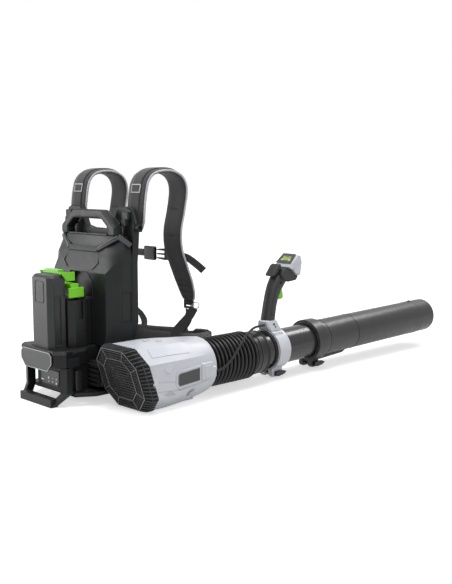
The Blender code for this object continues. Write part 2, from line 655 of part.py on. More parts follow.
# ---------------------------------------------------------------- hose, tube and nozzle
profile = [(HOSE_BORE, 0.3865), (HOSE_BORE, 0.2050), (HOSE_ROOT, 0.2050)]
y = 0.2085
for i in range(HOSE_RIBS):
    profile += [(HOSE_ROOT, y), (HOSE_CREST, y + HOSE_PITCH * 0.5)]
    y += HOSE_PITCH
profile += [(HOSE_ROOT, y), (HOSE_ROOT, 0.3865)]
hose = lathe("flex_hose", "rubber", profile[::-1], steps=32, where=(AXIS_X, 0, AXIS_Z))
bake(hose)
for v in hose.data.vertices:      # the front end follows the line's rise
    t = min(max((v.co.y - 0.300) / 0.075, 0.0), 1.0)
    a = math.radians(TUBE_RISE) * t * t * (3 - 2 * t)
    dy, dz = v.co.y - TILT_Y, v.co.z - AXIS_Z
    v.co.y = TILT_Y + math.cos(a) * dy - math.sin(a) * dz
    v.co.z = AXIS_Z + math.sin(a) * dy + math.cos(a) * dz
seat(hose, (AXIS_X, SWING_Y, AXIS_Z))

CUFF_Y = 0.3870
LINE_AT = (0.0, -TILT_Y, 0.0)     # lathes on the line keep their stations
cuff = lathe("hose_cuff", "rubber", [
    (HOSE_BORE, CUFF_Y), (HOSE_BORE, CUFF_Y + 0.006), (TUBE_R + RUN, CUFF_Y + 0.008),
    (TUBE_R + RUN, CUFF_Y + CUFF_LEN), (CUFF_R - 0.003, CUFF_Y + CUFF_LEN), (CUFF_R, CUFF_Y + CUFF_LEN - 0.004),
    (CUFF_R, CUFF_Y + 0.002), (CUFF_R - 0.002, CUFF_Y)], parent=line, where=LINE_AT)
tube = lathe("blow_tube", "black", [
    (TUBE_R - TUBE_WALL, TUBE_START), (TUBE_R - TUBE_WALL, TUBE_END), (TUBE_R, TUBE_END),
    (TUBE_R, TUBE_START)], parent=line, where=LINE_AT)
seal = lathe("tube_seal", "rubber", [
    (TUBE_R + GAP, CLAMP_Y - 0.0085), (TUBE_R + GAP, CLAMP_Y - GAP), (TUBE_R + 0.0045, CLAMP_Y - GAP),
    (TUBE_R + 0.0045, CLAMP_Y - 0.0065), (TUBE_R + 0.0030, CLAMP_Y - 0.0085)], parent=line, where=LINE_AT)


def split_clamp(name, mat, bore, radius, start, length, drop, neck=None, gap_half=0.0105):
    """A ring split underneath, with an ear on each side of the split, on the line's axis."""
    ring = skin(name, mat, [[(AXIS_X + r * math.cos(2 * math.pi * i / STEPS), y,
                              AXIS_Z + r * math.sin(2 * math.pi * i / STEPS)) for i in range(STEPS)]
                            for r, y in ((radius - 0.0012, start), (radius, start + 0.0012),
                                         (radius, start + length - 0.0012), (radius - 0.0012, start + length))])
    low = AXIS_Z - radius - drop
    outline = [(start + 0.003, low + 0.006), (start + 0.009, low), (start + length - 0.012, low),
               (start + length - 0.003, low + 0.008), (start + length - 0.003, AXIS_Z - bore * 0.80),
               (start + 0.003, AXIS_Z - bore * 0.80)]
    for s in (-1, 1):
        a, b = sorted((AXIS_X + s * (gap_half - 0.003), AXIS_X + s * (gap_half + EAR_T)))
        union(ring, prism("ear", mat, outline, "x", a, b))
    if neck:
        union(ring, neck)
    cut(ring, cylinder("inner", mat, CENTRE, "y", bore, start - 0.02, start + length + 0.02, STEPS))
    cut(ring, box("split", mat, (AXIS_X - gap_half, start - 0.01, AXIS_Z - radius - drop - 0.01),
                  (AXIS_X + gap_half, start + length + 0.01, AXIS_Z - bore * 0.72)))
    pin = cylinder("pin_hole", mat, (start + 0.020, low + 0.0095), "x", PIN_R, AXIS_X - 0.04, AXIS_X + 0.04, 16)
    cut(ring, pin)
    return ring, (AXIS_X + gap_half + EAR_T, start + 0.020, low + 0.0095)


def clamp_lever(name, mat, at, length):
    """A flat lever beside the right ear, with its pin through both ears."""
    x, y, z = at
    outline = [(y - 0.0085, z - 0.0055), (y + 0.004, z - 0.0085), (y + length * 0.7, z - 0.0055),
               (y + length, z + 0.0005), (y + length * 0.75, z + 0.0055), (y + 0.006, z + 0.0085),
               (y - 0.0065, z + 0.0065)]
    lever = prism(name, mat, outline, "x", x + GAP, x + 0.0095)
    bevel(lever, 0.0012)
    bake(lever)
    width = 2 * (x - AXIS_X)
    union(lever, cylinder("pin", mat, (y, z), "x", PIN_R - 0.0001, x - width - 0.0015, x + 0.004, 16))
    return seat(lever, (x, y, z), line)


neck_low = [(AXIS_X + x, y, AXIS_Z + CLAMP_R - 0.006) for x, y in (
    (-0.026, 0.4735), (0.026, 0.4735), (0.026, 0.5205), (-0.026, 0.5205))]
neck_mid = [(AXIS_X + x, y, AXIS_Z + CLAMP_R + 0.010) for x, y in (
    (-0.0225, 0.4640), (0.0225, 0.4640), (0.0225, 0.5130), (-0.0225, 0.5130))]
neck_top = [(AXIS_X + x, y, 0.1705) for x, y in (
    (-0.0190, 0.4620), (0.0190, 0.4620), (0.0190, 0.5045), (-0.0190, 0.5045))]
neck = skin("clamp_neck", "white", [neck_low, neck_mid, neck_top])
bevel(neck, 0.004, 1, 30)
bake(neck)
clamp, clamp_pin = split_clamp("handle_clamp", "white", TUBE_R + GAP, CLAMP_R, CLAMP_Y, CLAMP_LEN, EAR_DROP, neck)
seat(clamp, (AXIS_X, CLAMP_Y, AXIS_Z), line)
lever = clamp_lever("clamp_lever", "black", clamp_pin, 0.038)

nozzle = lathe("nozzle", "black", [
    (NOZZLE_R - NOZZLE_WALL, NOZZLE_START), (NOZZLE_R - NOZZLE_WALL, NOZZLE_END),
    (NOZZLE_R - 0.0008, NOZZLE_END), (NOZZLE_R, NOZZLE_END - 0.002), (NOZZLE_R, 1.202),
    (NOZZLE_R + 0.0006, 1.199), (NOZZLE_R + 0.0006, 1.172), (NOZZLE_R, 1.169), (NOZZLE_R, 0.852),
    (NOZZLE_R - 0.0006, 0.850), (NOZZLE_R + 0.0002, 0.847), (NOZZLE_R + 0.0002, 0.712), (NOZZLE_R + 0.0025, 0.705),
    (NOZZLE_R + 0.0025, NOZZLE_START)], where=(AXIS_X, 0, AXIS_Z))
bake(nozzle)
fin = prism("fin", "black", [(0.690, AXIS_Z - NOZZLE_R + 0.001), (0.690, AXIS_Z - 0.0645), (0.812, AXIS_Z - 0.0605),
                            (0.828, AXIS_Z - NOZZLE_R + 0.001)], "x", AXIS_X - 0.014, AXIS_X + 0.014)
sight = box("sight", "black", (AXIS_X - 0.003, 1.190, AXIS_Z + NOZZLE_R - 0.001),
            (AXIS_X + 0.003, 1.202, AXIS_Z + NOZZLE_R + 0.0035))
union(nozzle, fin, sight)
seat(nozzle, (AXIS_X, NOZZLE_START, AXIS_Z), line)
collar, collar_pin = split_clamp("nozzle_clamp", "black", NOZZLE_R + 0.0028, COLLAR_R + 0.001, 0.6465, 0.0400, 0.0165)
seat(collar, (AXIS_X, 0.6465, AXIS_Z), line)
nozzle_lever = clamp_lever("nozzle_lever", "black", collar_pin, 0.039)

# ---------------------------------------------------------------- control handle
GRIP = [(0.4838, 0.1738, 0.0190, 0.0205), (0.4855, 0.1850, 0.0185, 0.0200), (0.4915, 0.2150, 0.0182, 0.0198),
        (0.4990, 0.2420, 0.0185, 0.0205), (0.5080, 0.2620, 0.0190, 0.0225), (0.5200, 0.2800, 0.0200, 0.0240),
        (0.5330, 0.2950, 0.0210, 0.0230)]
rings = []
GRIP = [(*on_line(y, z), rx, ry) for y, z, rx, ry in GRIP]
for i, (gy, gz, rx, ry) in enumerate(GRIP):
    a = GRIP[max(i - 1, 0)]
    b = GRIP[min(i + 1, len(GRIP) - 1)]
    d = Vector((0, b[0] - a[0], b[1] - a[1])).normalized()
    n = Vector((0, d.z, -d.y)) if i else Vector((0, 1, 0))
    ring = []
    for k in range(16):
        t = 2 * math.pi * (k + 0.5) / 16
        c, s = math.cos(t), math.sin(t)
        c = math.copysign(abs(c) ** 0.8, c)
        s = math.copysign(abs(s) ** 0.8, s)
        ring.append(tuple(Vector((AXIS_X, gy, gz)) + Vector((1, 0, 0)) * (rx * c) + n * (ry * s)))
    rings.append(ring)
grip = skin("grip", "black", rings)
head_low = [on_line(*p) for p in ((0.512, 0.300), (0.519, 0.3175), (0.543, 0.3195), (0.560, 0.3120),
                                 (0.576, 0.2955), (0.5895, 0.2955), (0.578, 0.2820), (0.546, 0.2795), (0.528, 0.284))]
chin = prism("head_low", "black", head_low, "x", AXIS_X - 0.027, AXIS_X + 0.027)
bevel(chin, 0.004, 1, 50)
bake(chin)
union(grip, chin)
cut(grip, box("trigger_pocket", "black", (AXIS_X - 0.0094, 0.5120, 0.2220), (AXIS_X + 0.0094, 0.5700, 0.2700)))
seat(grip, (AXIS_X, 0.4835, 0.1708), line)

head_top = [on_line(*p) for p in ((0.5435, 0.3204), (0.5495, 0.3310), (0.5795, 0.3570), (0.5920, 0.3540),
                                 (0.5985, 0.3350), (0.5920, 0.2962), (0.5765, 0.2962), (0.5604, 0.3128))]
cover2 = prism("head_cover", "white", head_top, "x", AXIS_X - HEAD_W, AXIS_X + HEAD_W)
bevel(cover2, 0.004, 2, 40)
bake(cover2)
seat(cover2, (AXIS_X, 0.565, 0.330), line)

low_edge, high_edge = on_line(0.5495, 0.3310), on_line(0.5795, 0.3570)
dy, dz = high_edge[0] - low_edge[0], high_edge[1] - low_edge[1]
length = math.hypot(dy, dz)
dy, dz = dy / length, dz / length


def on_screen(u, v, w):
    """A place on the display's slope: u across, v up it, w off it."""
    return (AXIS_X + u, low_edge[0] + dy * v - dz * w, low_edge[1] + dz * v + dy * w)


def slab(name, mat, pairs, w0, w1):
    return skin(name, mat, [[on_screen(u, v, w) for u, v in pairs] for w in (w0, w1)])


display = slab("display", "screen", [(-0.0285, 0.0010), (0.0285, 0.0010), (0.0235, length - 0.0020),
                                     (-0.0235, length - 0.0020)], GAP, 0.0028)
bevel(display, 0.0008)
bake(display)
round_hole = [(0.0165 + 0.0042 * math.cos(math.pi * i / 8), 0.012 + 0.0042 * math.sin(math.pi * i / 8))
              for i in range(16)]
cut(display, slab("button_well", "screen", round_hole, 0.0008, 0.01))
seat(display, (AXIS_X, low_edge[0], low_edge[1]), line)
cap = [(0.0165 + 0.0038 * math.cos(math.pi * i / 8), 0.012 + 0.0038 * math.sin(math.pi * i / 8))
       for i in range(16)]
button = slab("mode_button", "white", cap, 0.0018, 0.0042)
seat(button, on_screen(0.0165, 0.012, 0.0018), line)

TRIGGER_AT = (AXIS_X, *on_line(0.5270, 0.2685))
ty, tz = TRIGGER_AT[1:]
trigger = prism("trigger", "green", [(ty - 0.0060, tz - 0.0015), (ty + 0.0050, tz - 0.0015), (ty + 0.0110, tz - 0.022),
                                     (ty + 0.0125, tz - 0.036), (ty + 0.0060, tz - 0.0395), (ty - 0.0080, tz - 0.0390)],
                "x", AXIS_X - 0.0090, AXIS_X + 0.0090)
bevel(trigger, 0.0015)
bake(trigger)
seat(trigger, TRIGGER_AT, line)

CRUISE_AT = (AXIS_X, *on_line(0.5205, 0.3245))
cruise = prism("cruise_lever", "black", [on_line(*p) for p in ((0.4880, 0.3030), (0.4925, 0.2965), (0.5020, 0.3030),
               (0.5130, 0.3082), (0.5158, 0.3146), (0.5188, 0.3155), (0.5245, 0.3196), (0.5262, 0.3236),
               (0.5235, 0.3290), (0.5180, 0.3335), (0.5080, 0.3280))],
               "x", AXIS_X - 0.0165, AXIS_X + 0.0165)
bevel(cruise, 0.002)
bake(cruise)
seat(cruise, CRUISE_AT, line)


def cord(name, mat, points, radius, resolution=2):
    data = bpy.data.curves.new(name, "CURVE")
    data.dimensions = "3D"
    data.bevel_depth = radius
    data.bevel_resolution = resolution
    data.use_fill_caps = True
    path = data.splines.new("POLY")
    path.points.add(len(points) - 1)
    for p, co in zip(path.points, points):
        p.co = (*co, 1.0)
    curve = bpy.data.objects.new(name + "_curve", data)
    COLLECTION.objects.link(curve)
    bpy.context.view_layer.update()
    graph = bpy.context.evaluated_depsgraph_get()
    mesh = bpy.data.meshes.new_from_object(curve.evaluated_get(graph))
    matrix = curve.matrix_world.copy()
    bpy.data.objects.remove(curve, do_unlink=True)
    bm = bmesh.new()
    bm.from_mesh(mesh)
    bmesh.ops.remove_doubles(bm, verts=bm.verts, dist=1e-5)
    bmesh.ops.recalc_face_normals(bm, faces=bm.faces)
    bm.to_mesh(mesh)
    bm.free()
    obj = add(name, mesh, mat)
    obj.matrix_world = matrix
    return obj


CABLE = [(0.232, 0.4575, 0.1600), (0.246, 0.430, 0.1640), (0.262, 0.380, 0.1640), (0.280, 0.330, 0.1480),
         (0.2945, 0.285, 0.1180), (0.3015, 0.252, 0.0950), (0.3030, 0.225, 0.0815), (0.3010, 0.2006, 0.0775)]
cable = cord("control_cable", "rubber", [tuple(p) for p in spline(CABLE, 4)], 0.0033)

# ---------------------------------------------------------------- harness
def upright(name, width, low, high, rear, thick, crown=0.12):
    zs = [low, low + 0.012, low + 0.035, (low + high) / 2, high - 0.035, high - 0.012, high]
    ws = [width * k for k in (0.80, 0.92, 1.0, 1.0, 1.0, 0.90, 0.76)]
    ts = [thick * k for k in (0.35, 0.85, 1.0, 1.0, 1.0, 0.85, 0.35)]
    return ribbon(name, "fabric", [(0, rear + thick * (1 + crown) / 2, z) for z in zs], ws, ts, crown)


back_pad = upright("back_pad", 0.200, 0.205, 0.430, FRAME_FRONT + GAP, 0.021)
lumbar = upright("lumbar_pad", 0.128, 0.062, 0.186, FRAME_FRONT + GAP, 0.024)

STRAP = [(0.0780, 0.440), (0.0780, 0.468), (0.0790, 0.500), (0.0840, 0.540), (0.0930, 0.572), (0.1130, 0.5915), (0.1480, 0.5985),
         (0.1850, 0.5945), (0.2120, 0.577), (0.2220, 0.545), (0.2130, 0.490), (0.2015, 0.440), (0.2035, 0.392),
         (0.2210, 0.345), (0.2400, 0.300), (0.2520, 0.268), (0.2570, 0.250), (0.2585, 0.2445)]
path = [Vector((0, *p)) for p in STRAP]
path = spline(path, 2)
w = even([STRAP_W * k for k in [0.60, 0.95] + [1.0] * 12 + [0.97, 0.84, 0.66, 0.50]], len(path))
t = even([STRAP_T * k for k in [0.4, 0.9] + [1.0] * 13 + [0.95, 0.75, 0.40]], len(path))
WING = [(0.0665, 0.0800, 0.1270, 0.110), (0.092, 0.0860, 0.1265, 0.108), (0.1080, 0.0990, 0.1250, 0.104),
        (0.1150, 0.1250, 0.1230, 0.098), (0.1180, 0.1700, 0.1190, 0.088), (0.1170, 0.2150, 0.1150, 0.076),
        (0.1100, 0.2600, 0.1110, 0.066), (0.0960, 0.3040, 0.1070, 0.058), (0.0780, 0.3460, 0.1040, 0.052),
        (0.0520, 0.4000, 0.1020, 0.044), (0.0460, 0.4120, 0.1020, 0.034)]
for side, s in (("right", 1), ("left", -1)):
    ribbon("shoulder_strap_" + side, "fabric", [(s * STRAP_X, p.y, p.z) for p in path], w, t, 0.10)
    thick = [0.012, 0.016, 0.016, 0.016, 0.015, 0.014, 0.014, 0.013, 0.012, 0.010, 0.004]
    ribbon("hip_wing_" + side, "fabric", [(s * p[0], p[1], p[2]) for p in WING], [p[3] for p in WING], thick, 0.08,
           across=[(0, 0, 1)] * len(WING))
    buckle = box("strap_adjuster_" + side, "black", (s * STRAP_X - 0.0190, 0.2555, 0.2190),
                 (s * STRAP_X + 0.0190, 0.2615, 0.2435))
    bevel(buckle, 0.0012)
    bake(buckle)
    cut(buckle, box("slot", "black", (s * STRAP_X - 0.0135, 0.24, 0.2250), (s * STRAP_X + 0.0135, 0.28, 0.2290)))
    low_path = [(s * 0.130, 0.2585, 0.2150), (s * 0.1240, 0.2640, 0.1980), (s * 0.1020, 0.2740, 0.1740),
                (s * 0.0840, 0.2700, 0.1470), (s * 0.0820, 0.2400, 0.1000), (s * 0.0860, 0.1900, 0.0680),
                (s * 0.0880, 0.1300, 0.0540), (s * 0.0900, 0.0900, 0.0500), (s * 0.0900, 0.0703, 0.0490)]
    ribbon("lower_webbing_" + side, "black", low_path, [0.025] * 9, [WEB_T] * 9)

LEVEL, LEANING = (0, 0, 1), (0, -0.36, 1)
chest_right = ribbon("chest_webbing_right", "black", [
    (0.0854, CHEST_Y, CHEST_Z), (0.1080, CHEST_Y - 0.0008, CHEST_Z), (0.1200, ON_STRAP_Y + 0.0018, CHEST_Z),
    (0.1300, ON_STRAP_Y, CHEST_Z), (0.1600, ON_STRAP_Y, CHEST_Z), (0.1720, 0.2270, 0.3640),
    (0.1800, 0.2420, 0.3500), (0.1880, 0.2620, 0.3280)], [0.020] * 8, [WEB_T] * 8,
    across=[LEVEL] * 2 + [LEANING] * 6)
chest_left = ribbon("chest_webbing_left", "black", [
    (-0.0254, CHEST_Y, CHEST_Z), (-0.0750, CHEST_Y, CHEST_Z), (-0.1000, ON_STRAP_Y + 0.0015, CHEST_Z),
    (-0.1120, ON_STRAP_Y, CHEST_Z), (-0.1640, ON_STRAP_Y, CHEST_Z)], [0.020] * 5, [WEB_T] * 5,
    across=[LEVEL] * 2 + [LEANING] * 3)
male = prism("chest_buckle_male", "black", [(x, CHEST_Z + z) for x, z in (
    (0.0850, -0.0150), (0.0850, 0.0150), (0.0660, 0.0165), (0.0400, 0.0145), (0.0300, 0.0125), (0.0300, 0.0100),
    (0.0640, 0.0095), (0.0640, 0.0025), (0.0320, 0.0020), (0.0320, -0.0020), (0.0640, -0.0025),
    (0.0640, -0.0095), (0.0300, -0.0100), (0.0300, -0.0125), (0.0400, -0.0145), (0.0660, -0.0165))],
    "y", CHEST_Y - 0.0035, CHEST_Y + 0.0035)
bevel(male, 0.0010)
female = box("chest_buckle_female", "black", (-0.0250, CHEST_Y - 0.0055, CHEST_Z - 0.0195),
             (0.0230, CHEST_Y + 0.0055, CHEST_Z + 0.0195))
bevel(female, 0.0025)
bake(female)
cut(female, box("mouth", "black", (0.0000, CHEST_Y - 0.0025, CHEST_Z - 0.0165),
                (0.0400, CHEST_Y + 0.0025, CHEST_Z + 0.0165)))
hip_male = ribbon("hip_buckle_male", "black", [
    (0.0458, 0.4124, 0.102), (0.0380, 0.4240, 0.102), (0.0330, 0.4300, 0.102), (0.0200, 0.4400, 0.102),
    (0.0100, 0.4440, 0.102)], [0.025, 0.025, 0.036, 0.036, 0.030], [0.0025, 0.0025, 0.009, 0.009, 0.006],
    across=[(0, 0, 1)] * 5)
hip_female = ribbon("hip_buckle_female", "black", [
    (-0.0458, 0.4124, 0.102), (-0.0380, 0.4240, 0.102), (-0.0330, 0.4300, 0.102), (-0.0200, 0.4400, 0.102),
    (0.0068, 0.4446, 0.102)], [0.025, 0.025, 0.038, 0.038, 0.038], [0.0025, 0.0025, 0.012, 0.012, 0.012],
    across=[(0, 0, 1)] * 5)
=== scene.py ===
"""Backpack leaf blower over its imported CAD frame: finishes, harness, hose and fine parts."""
import math

import bmesh
import bpy
import numpy as np
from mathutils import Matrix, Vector


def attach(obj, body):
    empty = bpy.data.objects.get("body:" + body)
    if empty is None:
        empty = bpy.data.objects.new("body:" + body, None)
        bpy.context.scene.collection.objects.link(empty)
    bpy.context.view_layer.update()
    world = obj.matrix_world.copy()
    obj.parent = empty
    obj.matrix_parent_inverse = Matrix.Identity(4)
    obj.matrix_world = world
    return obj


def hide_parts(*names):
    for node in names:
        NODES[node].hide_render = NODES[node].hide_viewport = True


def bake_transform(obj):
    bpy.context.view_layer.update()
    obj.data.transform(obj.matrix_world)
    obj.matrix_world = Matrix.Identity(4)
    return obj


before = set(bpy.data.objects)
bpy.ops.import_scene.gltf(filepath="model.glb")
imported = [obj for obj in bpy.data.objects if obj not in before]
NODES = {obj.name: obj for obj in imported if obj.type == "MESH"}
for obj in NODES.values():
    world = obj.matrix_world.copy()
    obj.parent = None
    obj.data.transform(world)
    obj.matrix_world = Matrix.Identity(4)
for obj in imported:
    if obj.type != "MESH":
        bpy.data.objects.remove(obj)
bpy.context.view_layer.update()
SCENE = bpy.context.scene

# The blower's axis is level from the intake to PIVOT, inside the hose, and rises from there on.
AXIS = Vector((0.220, 0.0, 0.083))
PIVOT = Vector((0.220, 0.345, 0.083))
RISE = math.radians(1.15)
SIDES = ((1, "right"), (-1, "left"))

# ------------------------------------------------------------ camera
CAMERA_AT = (1.923, -1.329, 0.58)
CAMERA_DOWN, CAMERA_TURN = 7.5, 46
FOCAL_PIXELS, PICTURE_PIXELS = 868, 584
SENSOR = 36.0


def make_camera():
    data = bpy.data.cameras.new("camera")
    data.sensor_fit = "VERTICAL"
    data.sensor_height = SENSOR
    data.lens = FOCAL_PIXELS / PICTURE_PIXELS * SENSOR
    data.clip_end = 60
    cam = bpy.data.objects.new("camera", data)
    SCENE.collection.objects.link(cam)
    cam.location = CAMERA_AT
    cam.rotation_euler = (math.radians(90 - CAMERA_DOWN), 0, math.radians(CAMERA_TURN))
    SCENE.camera = cam


make_camera()
SCENE.view_settings.view_transform = "Standard"


# ------------------------------------------------------------ materials
def srgb(*c):
    """A colour of 0 to 255 as linear light."""
    out = [x / 255 for x in c]
    return tuple(x / 12.92 if x <= 0.04045 else ((x + 0.055) / 1.055) ** 2.4 for x in out)


class Mat:
    """A node material being wired up around one Principled shader."""

    def __init__(self, name):
        self.m = bpy.data.materials.new(name)
        self.m.use_nodes = True
        self.t = self.m.node_tree
        self.bsdf = self.t.nodes["Principled BSDF"]
        self.coord = self.node("ShaderNodeTexCoord")

    def node(self, kind, **values):
        n = self.t.nodes.new(kind)
        for k, v in values.items():
            if k in n.inputs:
                n.inputs[k].default_value = v
            else:
                setattr(n, k, v)
        return n

    def link(self, a, b):
        self.t.links.new(a, b)

    def noise(self, scale, detail=3.0, rough=0.5):
        n = self.node("ShaderNodeTexNoise", Scale=scale, Detail=detail, Roughness=rough)
        self.link(self.coord.outputs["Object"], n.inputs["Vector"])
        return n.outputs["Fac"]

    def ramp(self, fac, *stops):
        n = self.node("ShaderNodeValToRGB")
        for e, (pos, colour) in zip(n.color_ramp.elements, stops):
            e.position = pos
            e.color = (*colour, 1.0)
        self.link(fac, n.inputs["Fac"])
        return n.outputs["Color"]

    def span(self, fac, low, high, a=0.3, b=0.7):
        """Carries a..b over to low..high."""
        n = self.node("ShaderNodeMapRange")
        for i, v in ((1, a), (2, b), (3, low), (4, high)):
            n.inputs[i].default_value = v
        self.link(fac, n.inputs[0])
        return n.outputs[0]

    def math(self, op, a, b):
        n = self.node("ShaderNodeMath", operation=op)
        for i, v in enumerate((a, b)):
            if isinstance(v, (int, float)):
                n.inputs[i].default_value = v
            else:
                self.link(v, n.inputs[i])
        return n.outputs[0]

    def bump(self, height, strength, distance, after=None):
        n = self.node("ShaderNodeBump", Strength=strength, Distance=distance)
        self.link(height, n.inputs["Height"])
        if after is not None:
            self.link(after, n.inputs["Normal"])
        return n.outputs["Normal"]


# Patterns of a moulded wall, as noise scales: broad tone, patchy gloss, slow waves. Then the
# depths of its grain and its waves in metres.
TONE_SCALE, GLOSS_SCALE, WAVE_SCALE = 9.0, 55.0, 28.0
GRAIN_DEPTH, WAVE_DEPTH = 0.00012, 0.0006


def plastic(name, rgb, rough=0.42, vary=0.14, grain=0.35, metal=0.0, coat=0.0, scale=1500.0,
            wave=0.10, spec=0.5):
    """A moulded or metal finish: its tone varies a little and its face has a fine grain."""
    m = Mat(name)
    base = srgb(*rgb)
    dark, light = (tuple(c * k for c in base) for k in (1 - vary, 1 + vary))
    m.link(m.ramp(m.noise(TONE_SCALE, 5.0, 0.6), (0.30, dark), (0.70, light)),
           m.bsdf.inputs["Base Color"])
    m.link(m.span(m.noise(GLOSS_SCALE, 4.0, 0.65), rough - 0.05, rough + 0.07),
           m.bsdf.inputs["Roughness"])
    fine = m.bump(m.noise(scale, 2.0, 0.5), grain, GRAIN_DEPTH)
    m.link(m.bump(m.noise(WAVE_SCALE, 2.0), wave, WAVE_DEPTH, fine), m.bsdf.inputs["Normal"])
    m.bsdf.inputs["Metallic"].default_value = metal
    m.bsdf.inputs["Specular IOR Level"].default_value = spec
    m.bsdf.inputs["Coat Weight"].default_value = coat
    m.bsdf.inputs["Coat Roughness"].default_value = 0.12
    return m.m


# A wave texture draws this many bands to a unit at a scale of 1.
WAVE_BANDS = 3.1831
CLOTH_ROUGH = 0.88


def cloth(name, dark, light, pitch=0.0016, depth=0.00045, sheen=0.25, coords="UV"):
    """Woven fabric: warp and weft from two sets of waves, pitch metres apart."""
    m = Mat(name)
    threads = []
    for turn in (0.0, math.pi / 2):
        mapping = m.node("ShaderNodeMapping")
        mapping.inputs["Rotation"].default_value = (0, 0, turn)
        m.link(m.coord.outputs[coords], mapping.inputs["Vector"])
        wave = m.node("ShaderNodeTexWave", Scale=1 / pitch / WAVE_BANDS, Distortion=0.6, Detail=1.0)
        wave.inputs["Detail Scale"].default_value = 2.0
        m.link(mapping.outputs[0], wave.inputs["Vector"])
        threads.append(wave.outputs["Fac"])
    weave = m.math("MULTIPLY", *threads)
    wear = m.noise(45.0, 5.0, 0.7)
    tone = m.math("ADD", m.math("MULTIPLY", weave, 0.45), m.math("MULTIPLY", wear, 0.6))
    m.link(m.ramp(tone, (0.2, srgb(*dark)), (0.8, srgb(*light))), m.bsdf.inputs["Base Color"])
    lumps = m.bump(m.noise(260.0, 3.0), 0.3, 0.0008)
    m.link(m.bump(weave, 0.7, depth, lumps), m.bsdf.inputs["Normal"])
    m.link(m.span(wear, CLOTH_ROUGH - 0.06, CLOTH_ROUGH + 0.05), m.bsdf.inputs["Roughness"])
    m.bsdf.inputs["Sheen Weight"].default_value = sheen
    m.bsdf.inputs["Sheen Roughness"].default_value = 0.5
    return m.m


M = {
    "black": plastic("shell_black", (30, 31, 32), 0.36, spec=0.20, wave=0.05),
    "deep": plastic("base_black", (24, 25, 26), 0.42, spec=0.22, wave=0.05),
    "charcoal": plastic("frame_charcoal", (26, 27, 28), 0.44, spec=0.22, wave=0.05),
    "port": plastic("port_black", (26, 27, 28), 0.34, spec=0.24, wave=0.05),
    "battery": plastic("battery_grey", (44, 45, 46), 0.36, wave=0.05, spec=0.32),
    # Black plastic made darker than the other blacks: painted shade seen through the screen's
    # holes, on the grille and the rim.
    "intake": plastic("intake_black_shaded", (13, 13, 14), 0.50, spec=0.14, wave=0.05),
    "line": plastic("edge_grey", (112, 114, 117), 0.45),
    "white": plastic("housing_white", (193, 195, 202), 0.38, 0.03, 0.20),
    # A darker copy of the housing white: painted shade on the low facet and the notch, and dark
    # seam lines.
    "white_seam_and_shade": plastic("housing_seam_and_shade", (168, 170, 177), 0.40, 0.03, 0.20),
    "green": plastic("lime", (112, 196, 24), 0.34, 0.08, 0.15),
    "tube": plastic("tube_gloss", (32, 32, 33), 0.24, 0.10, 0.0, wave=0.0, spec=0.40),
    "nozzle": plastic("nozzle_dark", (42, 42, 43), 0.36, 0.08, 0.02, wave=0.0, spec=0.35),
    "hose": plastic("hose_black", (14, 14, 15), 0.32, 0.2, 0.02, wave=0.0, spec=0.35),
    "rubber": plastic("rubber_black", (26, 26, 27), 0.58, 0.15, 0.30, spec=0.25),
    "grip": plastic("grip_black", (34, 34, 35), 0.46, 0.12, 0.5, scale=900.0, spec=0.35),
    "trim": plastic("trim_grey", (50, 51, 53), 0.44, spec=0.3),
    "silver": plastic("plate_silver", (112, 114, 117), 0.34, 0.08, 0.2, metal=0.35),
    "border": plastic("border_silver", (150, 152, 156), 0.34, 0.06, 0.15),
    "screen": plastic("screen_glass", (140, 160, 60), 0.14, 0.18, 0.02, coat=0.5),
    "glass": plastic("screen_surround", (40, 42, 40), 0.16, 0.10, 0.02, coat=0.4),
    "steel": plastic("steel", (138, 140, 144), 0.30, 0.08, 0.1, metal=1.0),
    "copper": plastic("copper", (190, 110, 70), 0.42, 0.15, 0.3, metal=0.9),
    "grey": plastic("duct_grey", (24, 25, 26), 0.48, spec=0.3),
    "panel": plastic("panel_dark", (40, 41, 42), 0.32),
    "wire": plastic("screen_wire", (30, 31, 32), 0.42, 0.12, 0.2, spec=0.3),
    "mark": plastic("mark_white", (208, 210, 214), 0.45, 0.05, 0.1),
    "fabric": cloth("pad_fabric", (26, 26, 28), (50, 50, 52)),
    "binding": cloth("pad_binding", (22, 22, 24), (44, 44, 46), coords="Object"),
    "webbing": cloth("webbing_black", (20, 20, 21), (46, 46, 48), 0.0022, 0.0006),
    "mesh": cloth("back_mesh", (26, 26, 28), (54, 54, 58), 0.0034, 0.0010, coords="Object"),
    "piping": cloth("piping_grey", (160, 162, 167), (206, 208, 212), 0.0012, sheen=0.1,
                    coords="Object"),
}

FINISH = {
    "black": "pack_cover carry_handle fan_bracket",
    "deep": "base_tray base_housing bumper_loop",
    "charcoal": "back_frame",
    "port": "battery_port",
    "battery": "battery",
    "intake": "intake_rim intake_grille",
    "white": "fan_housing handle_clamp head_cover mode_button",
    "green": "battery_bail release_latch trigger",
    "tube": "blow_tube",
    "nozzle": "nozzle nozzle_clamp",
    "hose": "hose_cuff flex_hose",
    "rubber": "tube_seal isolator_block control_cable",
    "grip": "grip cruise_lever nozzle_lever clamp_lever strap_adjuster_right strap_adjuster_left "
            "hip_buckle_male hip_buckle_female chest_buckle_male chest_buckle_female",
    "silver": "motor_controller",
    "screen": "display",
    "panel": "control_panel label_plate",
    "steel": "motor_shaft",
    "copper": "motor_stator terminal_block",
    "grey": "fan_duct fan_rotor",
}
FINE = {"mode_button", "display", "chest_buckle_male", "chest_buckle_female", "terminal_block",
        "intake_grille", "fan_rotor", "fan_duct", "tube_seal", "strap_adjuster_right",
        "strap_adjuster_left", "motor_controller"}
FINE_EDGE, PLAIN_EDGE = 0.0004, 0.0010


